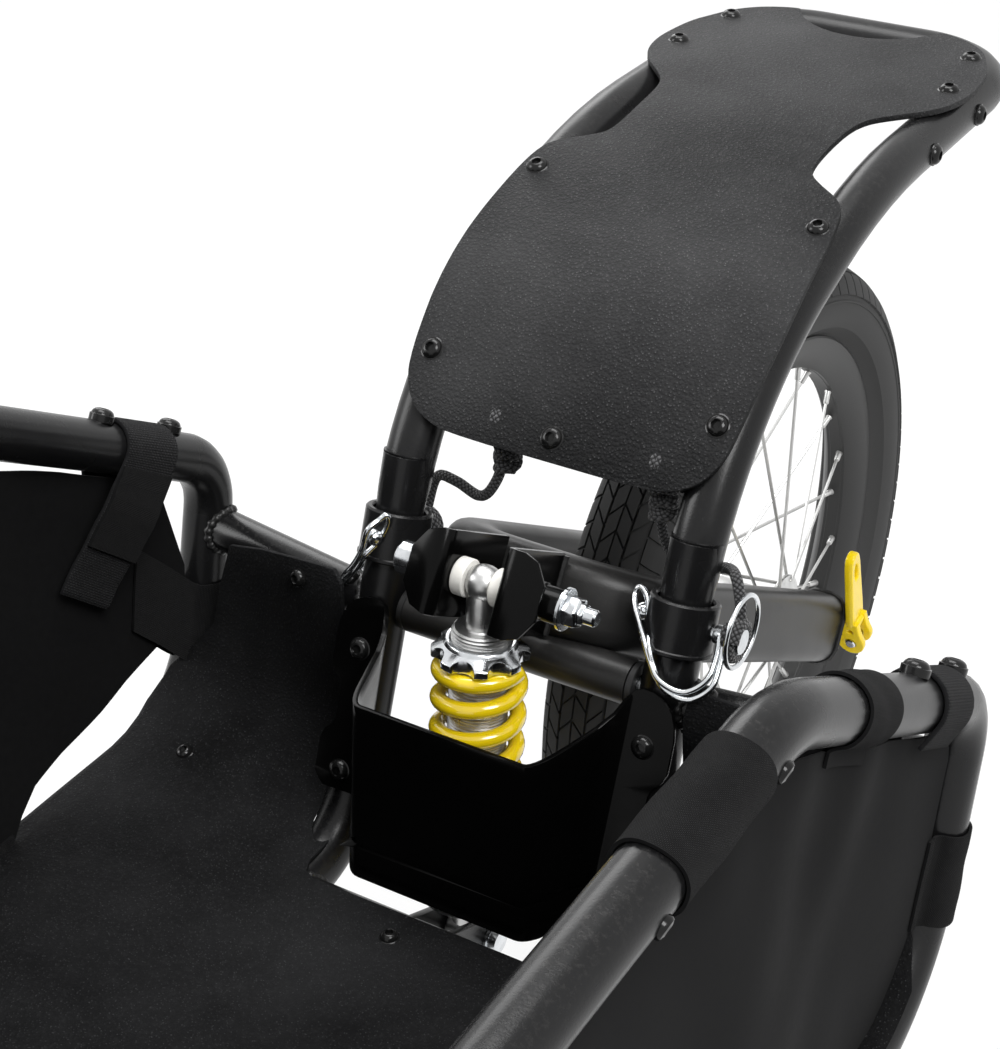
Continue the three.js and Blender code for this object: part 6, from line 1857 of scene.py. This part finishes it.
# Rear corner of each panel, (y, z), from the slope round to the bottom tube
CORNER = {
    "left": (
        (-396, 230.6), (-370, 215), (-340, 197.6), (-300, 174), (-262, 151.6), (-247, 141), (-238, 130),
        (-236.5, 122), (-240, 108), (-245, 92), (-249, 70), (-256, 40), (-259, 33), (-264, 27), (-276, 14),
        (-281, 12.8),
    ),
    "right": (
        (-396, 227), (-380, 218), (-363, 209), (-345, 199.6), (-324, 188.4), (-290, 168), (-263, 152),
        (-256, 140), (-250, 116), (-243.5, 92), (-246, 72), (-262, 60), (-282, 56), (-300, 52.5),
        (-320, 47), (-350, 40.5), (-371, 34), (-383, 24), (-391, 12.8),
    ),
}


class TRAILER_OT_panels(bpy.types.Operator):
    """Hang the cloth side panels in the loops, with their sewn bands"""
    bl_idname = "trailer.side_panels"
    bl_label = "Side panels"
    bl_options = {"REGISTER", "UNDO"}

    def execute(self, context):
        sizes = context.scene.trailer_cloth
        for side, way in SIDES:
            self.panel(side, way, sizes)
        return {"FINISHED"}

    def outline(self, side):
        """Edge of the cloth in its plane, (y, z) in millimetres, with its cut rear corner."""
        run = bent([(Vector((0, y, z)) * MM, bend) for (y, z), bend in LOOP], 6)[:-1]
        run = even(run + run[:1], 150)[:-1]
        edge = []
        for k, point in enumerate(run):
            way = (run[(k + 1) % len(run)] - run[k - 1]).normalized()
            inward = Vector((0, way.z, -way.y))
            y, z = point.y / MM, point.z / MM
            margin = 14.8 + self.hollow(y, z)
            edge.append((y + inward.y * margin, z + inward.z * margin))
        rear = [k for k, (y, _) in enumerate(edge) if y > -402]
        return edge[:rear[0]] + list(CORNER[side]) + edge[rear[-1] + 1:]

    def hollow(self, y, z):
        """How far the cloth's edge draws back from its tube at a place."""
        if z <= 250:
            return 0.0
        front = sin(pi * min(1, max(0, (y + 700) / 180))) ** 2
        rear = sin(pi * min(1, max(0, (y + 458) / 75))) ** 2
        return 5.5 * front + 4.0 * rear

    def fold(self, x_way, y, z, depth):
        """How far the cloth stands out of its plane at a place."""
        rise = max(0.0, min(1.0, z / 240))
        edge = max(0.0, min(1.0, (z - 12) / 40)) * max(0.0, min(1.0, (252 - z) / 30))
        edge *= max(0.0, min(1.0, (y + 880) / 60))
        waves = 0.0
        for start, slant, width, size in ((-489, 0.55, 34, 1.0), (-730, 0.45, 42, 0.9),
                                          (-400, -0.35, 30, 0.8), (-300, -0.7, 28, 0.7),
                                          (-610, 0.2, 60, 0.8)):
            off = (y - start - slant * (252 - z)) / (width * (1.25 - 0.45 * rise))
            waves += size * math.exp(-off * off) * (1 - 0.55 * (1 - rise))
            waves -= 0.55 * size * math.exp(-((off - 1.5) ** 2))
        sag = 1.6 * sin(pi * max(0, min(1, z / 260)))
        ripple = 0.35 * sin(y / 13 + z / 21) * sin(z / 17 - y / 37)
        return x_way * edge * (depth * waves * 0.62 + sag + ripple)

    def panel(self, side, way, sizes):
        """One panel with the bands sewn round its tubes."""
        x = way * LOOP_X
        thick, depth = sizes.thick / MM, sizes.fold / MM

        def place(y, z):
            return at(x + self.fold(way, y, z, depth), y, z)
        sheet = cut_sheet(self.outline(side), place, thick, range(-896, -200, 9), range(6, 262, 9), edge=0)
        keep(sheet, f"cloth_{side}", "frame", "bag_cloth", f"side_panel_{side}", 60)
        ends = [
            (at(x, -520, RAIL_Z), at(x, -458, RAIL_Z), 15, 0),
            (at(x, -760, RAIL_Z), at(x, -700, RAIL_Z), 15, 0),
            (at(x, -640, FLOOR_Z), at(x, -392, FLOOR_Z), 15, 0),
        ]
        if way > 0:
            ends += [(on_slope(x, 60), on_slope(x, 98), 15, 0), (on_post(x, 38), on_post(x, 82), 16, 0)]
        else:
            ends.append((on_post(x, 35), on_post(x, 79), 52, 0.6))
        for k, (start, end, reach, rise) in enumerate(ends):
            self.band(f"{side}_{k}", start, end, reach, rise, way, sizes)

    def band(self, name, start, end, reach, rise, way, sizes):
        """Sleeve of cloth that goes round the tube, its tails sewn to the panel and rising along it."""
        thick, depth = sizes.thick / MM, sizes.fold / MM
        along = (end - start).normalized()
        inward = at(way * LOOP_X, -600, 120) - start
        inward -= along * inward.dot(along)
        inward.x = 0
        inward.normalize()
        across = along.cross(inward)
        long = (end - start).length / MM
        lap, tip = 1 - reach / (reach + 38), radians(150)

        def place(u, v):
            turn = (u - 0.5) * 2
            pad = 0.35 * sin(v * 9 + u * 17) * sin(v * pi)
            ring = 13.2 + thick / 2 + pad
            wave = 0.6 * sin(u * 23) * (1 if v in (0, 1) else 0)
            if abs(turn) < lap:
                angle = turn / lap * tip
                return start + (along * (long * v + wave)
                                + (across * sin(angle) - inward * cos(angle)) * ring) * MM
            share = (abs(turn) - lap) / (1 - lap)
            close = min(1, share * 46 / reach) ** 0.6
            low = -cos(tip) * ring
            flank = 1 if turn > 0 else -1
            spot = across * ((1.1 + thick / 2) * close + sin(tip) * ring * (1 - close)) * flank
            spot += inward * (low + (reach - low + 6) * share)
            point = start + (along * (long * v + wave * (1 - share) + rise * reach * share) + spot) * MM
            y, z = (point.y - AXLE.y) / MM, (point.z - AXLE.z) / MM
            return point + X * self.fold(way, y, z, depth) * close * MM
        piece = spread(72, 12, place, (0.12, long * MM))
        finish_with(piece, "SOLIDIFY", thickness=thick * MM, offset=0.0)
        return keep(piece, f"band_{name}", "frame", "bag_cloth", crisp=60)


class TRAILER_OT_straps(bpy.types.Operator):
    """Loop the corner straps over the rear slopes"""
    bl_idname = "trailer.straps"
    bl_label = "Corner straps"
    bl_options = {"REGISTER", "UNDO"}

    def execute(self, context):
        thick = context.scene.trailer_cloth.webbing / MM
        for side, way in SIDES:
            x = way * LOOP_X
            centre = on_slope(x, sum(STRAP_BOLTS[side]) / 2)
            inner = -X * way
            drop = Vector((0, -0.66, -0.75) if way < 0 else (0, -0.3, -0.95)).normalized()
            ring = 13.2 + thick / 2
            line = [centre + (X * way * (ring * 0.55) - SLOPE_UP * ring * 1.2) * MM]
            for k in range(15):
                angle = radians(-112 + 202 * k / 14)
                line.append(centre + (inner * sin(angle) + SLOPE_UP * cos(angle)) * ring * MM)
            foot = line[-1]
            for k in range(1, 9):
                line.append(foot + (drop * k * 9.6 + inner * (1.0 * sin(k * 0.6) - 0.9 * k)) * MM)
            line = flowing(line, 48)
            total = sum((b - a).length for a, b in zip(line, line[1:]))
            level = Vector((0, -drop.z, drop.y))

            def place(u, v, line=line, lift=0.0):
                k = min(len(line) - 1, round(v * (len(line) - 1)))
                turn = min(1.0, max(0.0, (v - 0.42) / 0.22))
                side_way = (SLOPE * (1 - turn) + level * turn).normalized()
                bow = 0.5 * sin(u * pi) + 0.25 * sin(v * 40) * (2 * u - 1) ** 2
                return line[k] + (side_way * (u - 0.5) * STRAP_WIDE + inner * (bow + lift) * turn) * MM
            piece = spread(10, 48, place, (STRAP_WIDE * MM, total))
            finish_with(piece, "SOLIDIFY", thickness=thick * MM, offset=0.0)
            soften(piece, 0.4, 1, 50)
            keep(piece, f"strap_{side}", "frame", "webbing", f"corner_strap_{side}", 50)
            patch = spread(8, 12, lambda u, v: place(u, 0.5 + v * 0.32, lift=2.4), (STRAP_WIDE * MM, 0.05))
            finish_with(patch, "SOLIDIFY", thickness=thick * 0.8 * MM, offset=0.0)
            keep(patch, f"hook_patch_{side}", "frame", "bag_cloth", crisp=50)
        return {"FINISHED"}


# Panel in the sidebar

STEPS = (
    TRAILER_OT_stage, TRAILER_OT_lanyards, TRAILER_OT_loops, TRAILER_OT_uprights, TRAILER_OT_guard,
    TRAILER_OT_fender, TRAILER_OT_floor, TRAILER_OT_yoke, TRAILER_OT_stand, TRAILER_OT_arm,
    TRAILER_OT_shock, TRAILER_OT_wheel, TRAILER_OT_skewer, TRAILER_OT_pins, TRAILER_OT_panels,
    TRAILER_OT_straps,
)


class TRAILER_PT_pieces(bpy.types.Panel):
    """Trailer pieces and their sizes"""
    bl_idname = "TRAILER_PT_pieces"
    bl_label = "Touring Trailer"
    bl_space_type = "VIEW_3D"
    bl_region_type = "UI"
    bl_category = "Trailer"

    def draw(self, context):
        layout = self.layout
        for step in STEPS:
            layout.operator(step.bl_idname)
        for name, group in SETTINGS.items():
            box = layout.box()
            box.label(text=group.__doc__.rstrip("."))
            for field in group.__annotations__:
                box.prop(getattr(context.scene, name), field)


CLASSES = (*SETTINGS.values(), *STEPS, TRAILER_PT_pieces)


def register():
    """Add the trailer's settings, operators and panel."""
    for kind in CLASSES:
        bpy.utils.register_class(kind)
    for name, group in SETTINGS.items():
        setattr(bpy.types.Scene, name, PointerProperty(type=group))


def unregister():
    """Remove them again."""
    for name in SETTINGS:
        delattr(bpy.types.Scene, name)
    for kind in reversed(CLASSES):
        bpy.utils.unregister_class(kind)


def main():
    """Make every piece in order."""
    register()
    for step in STEPS:
        group, name = step.bl_idname.split(".")
        getattr(getattr(bpy.ops, group), name)()
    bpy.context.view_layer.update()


if __name__ == "__main__":
    main()
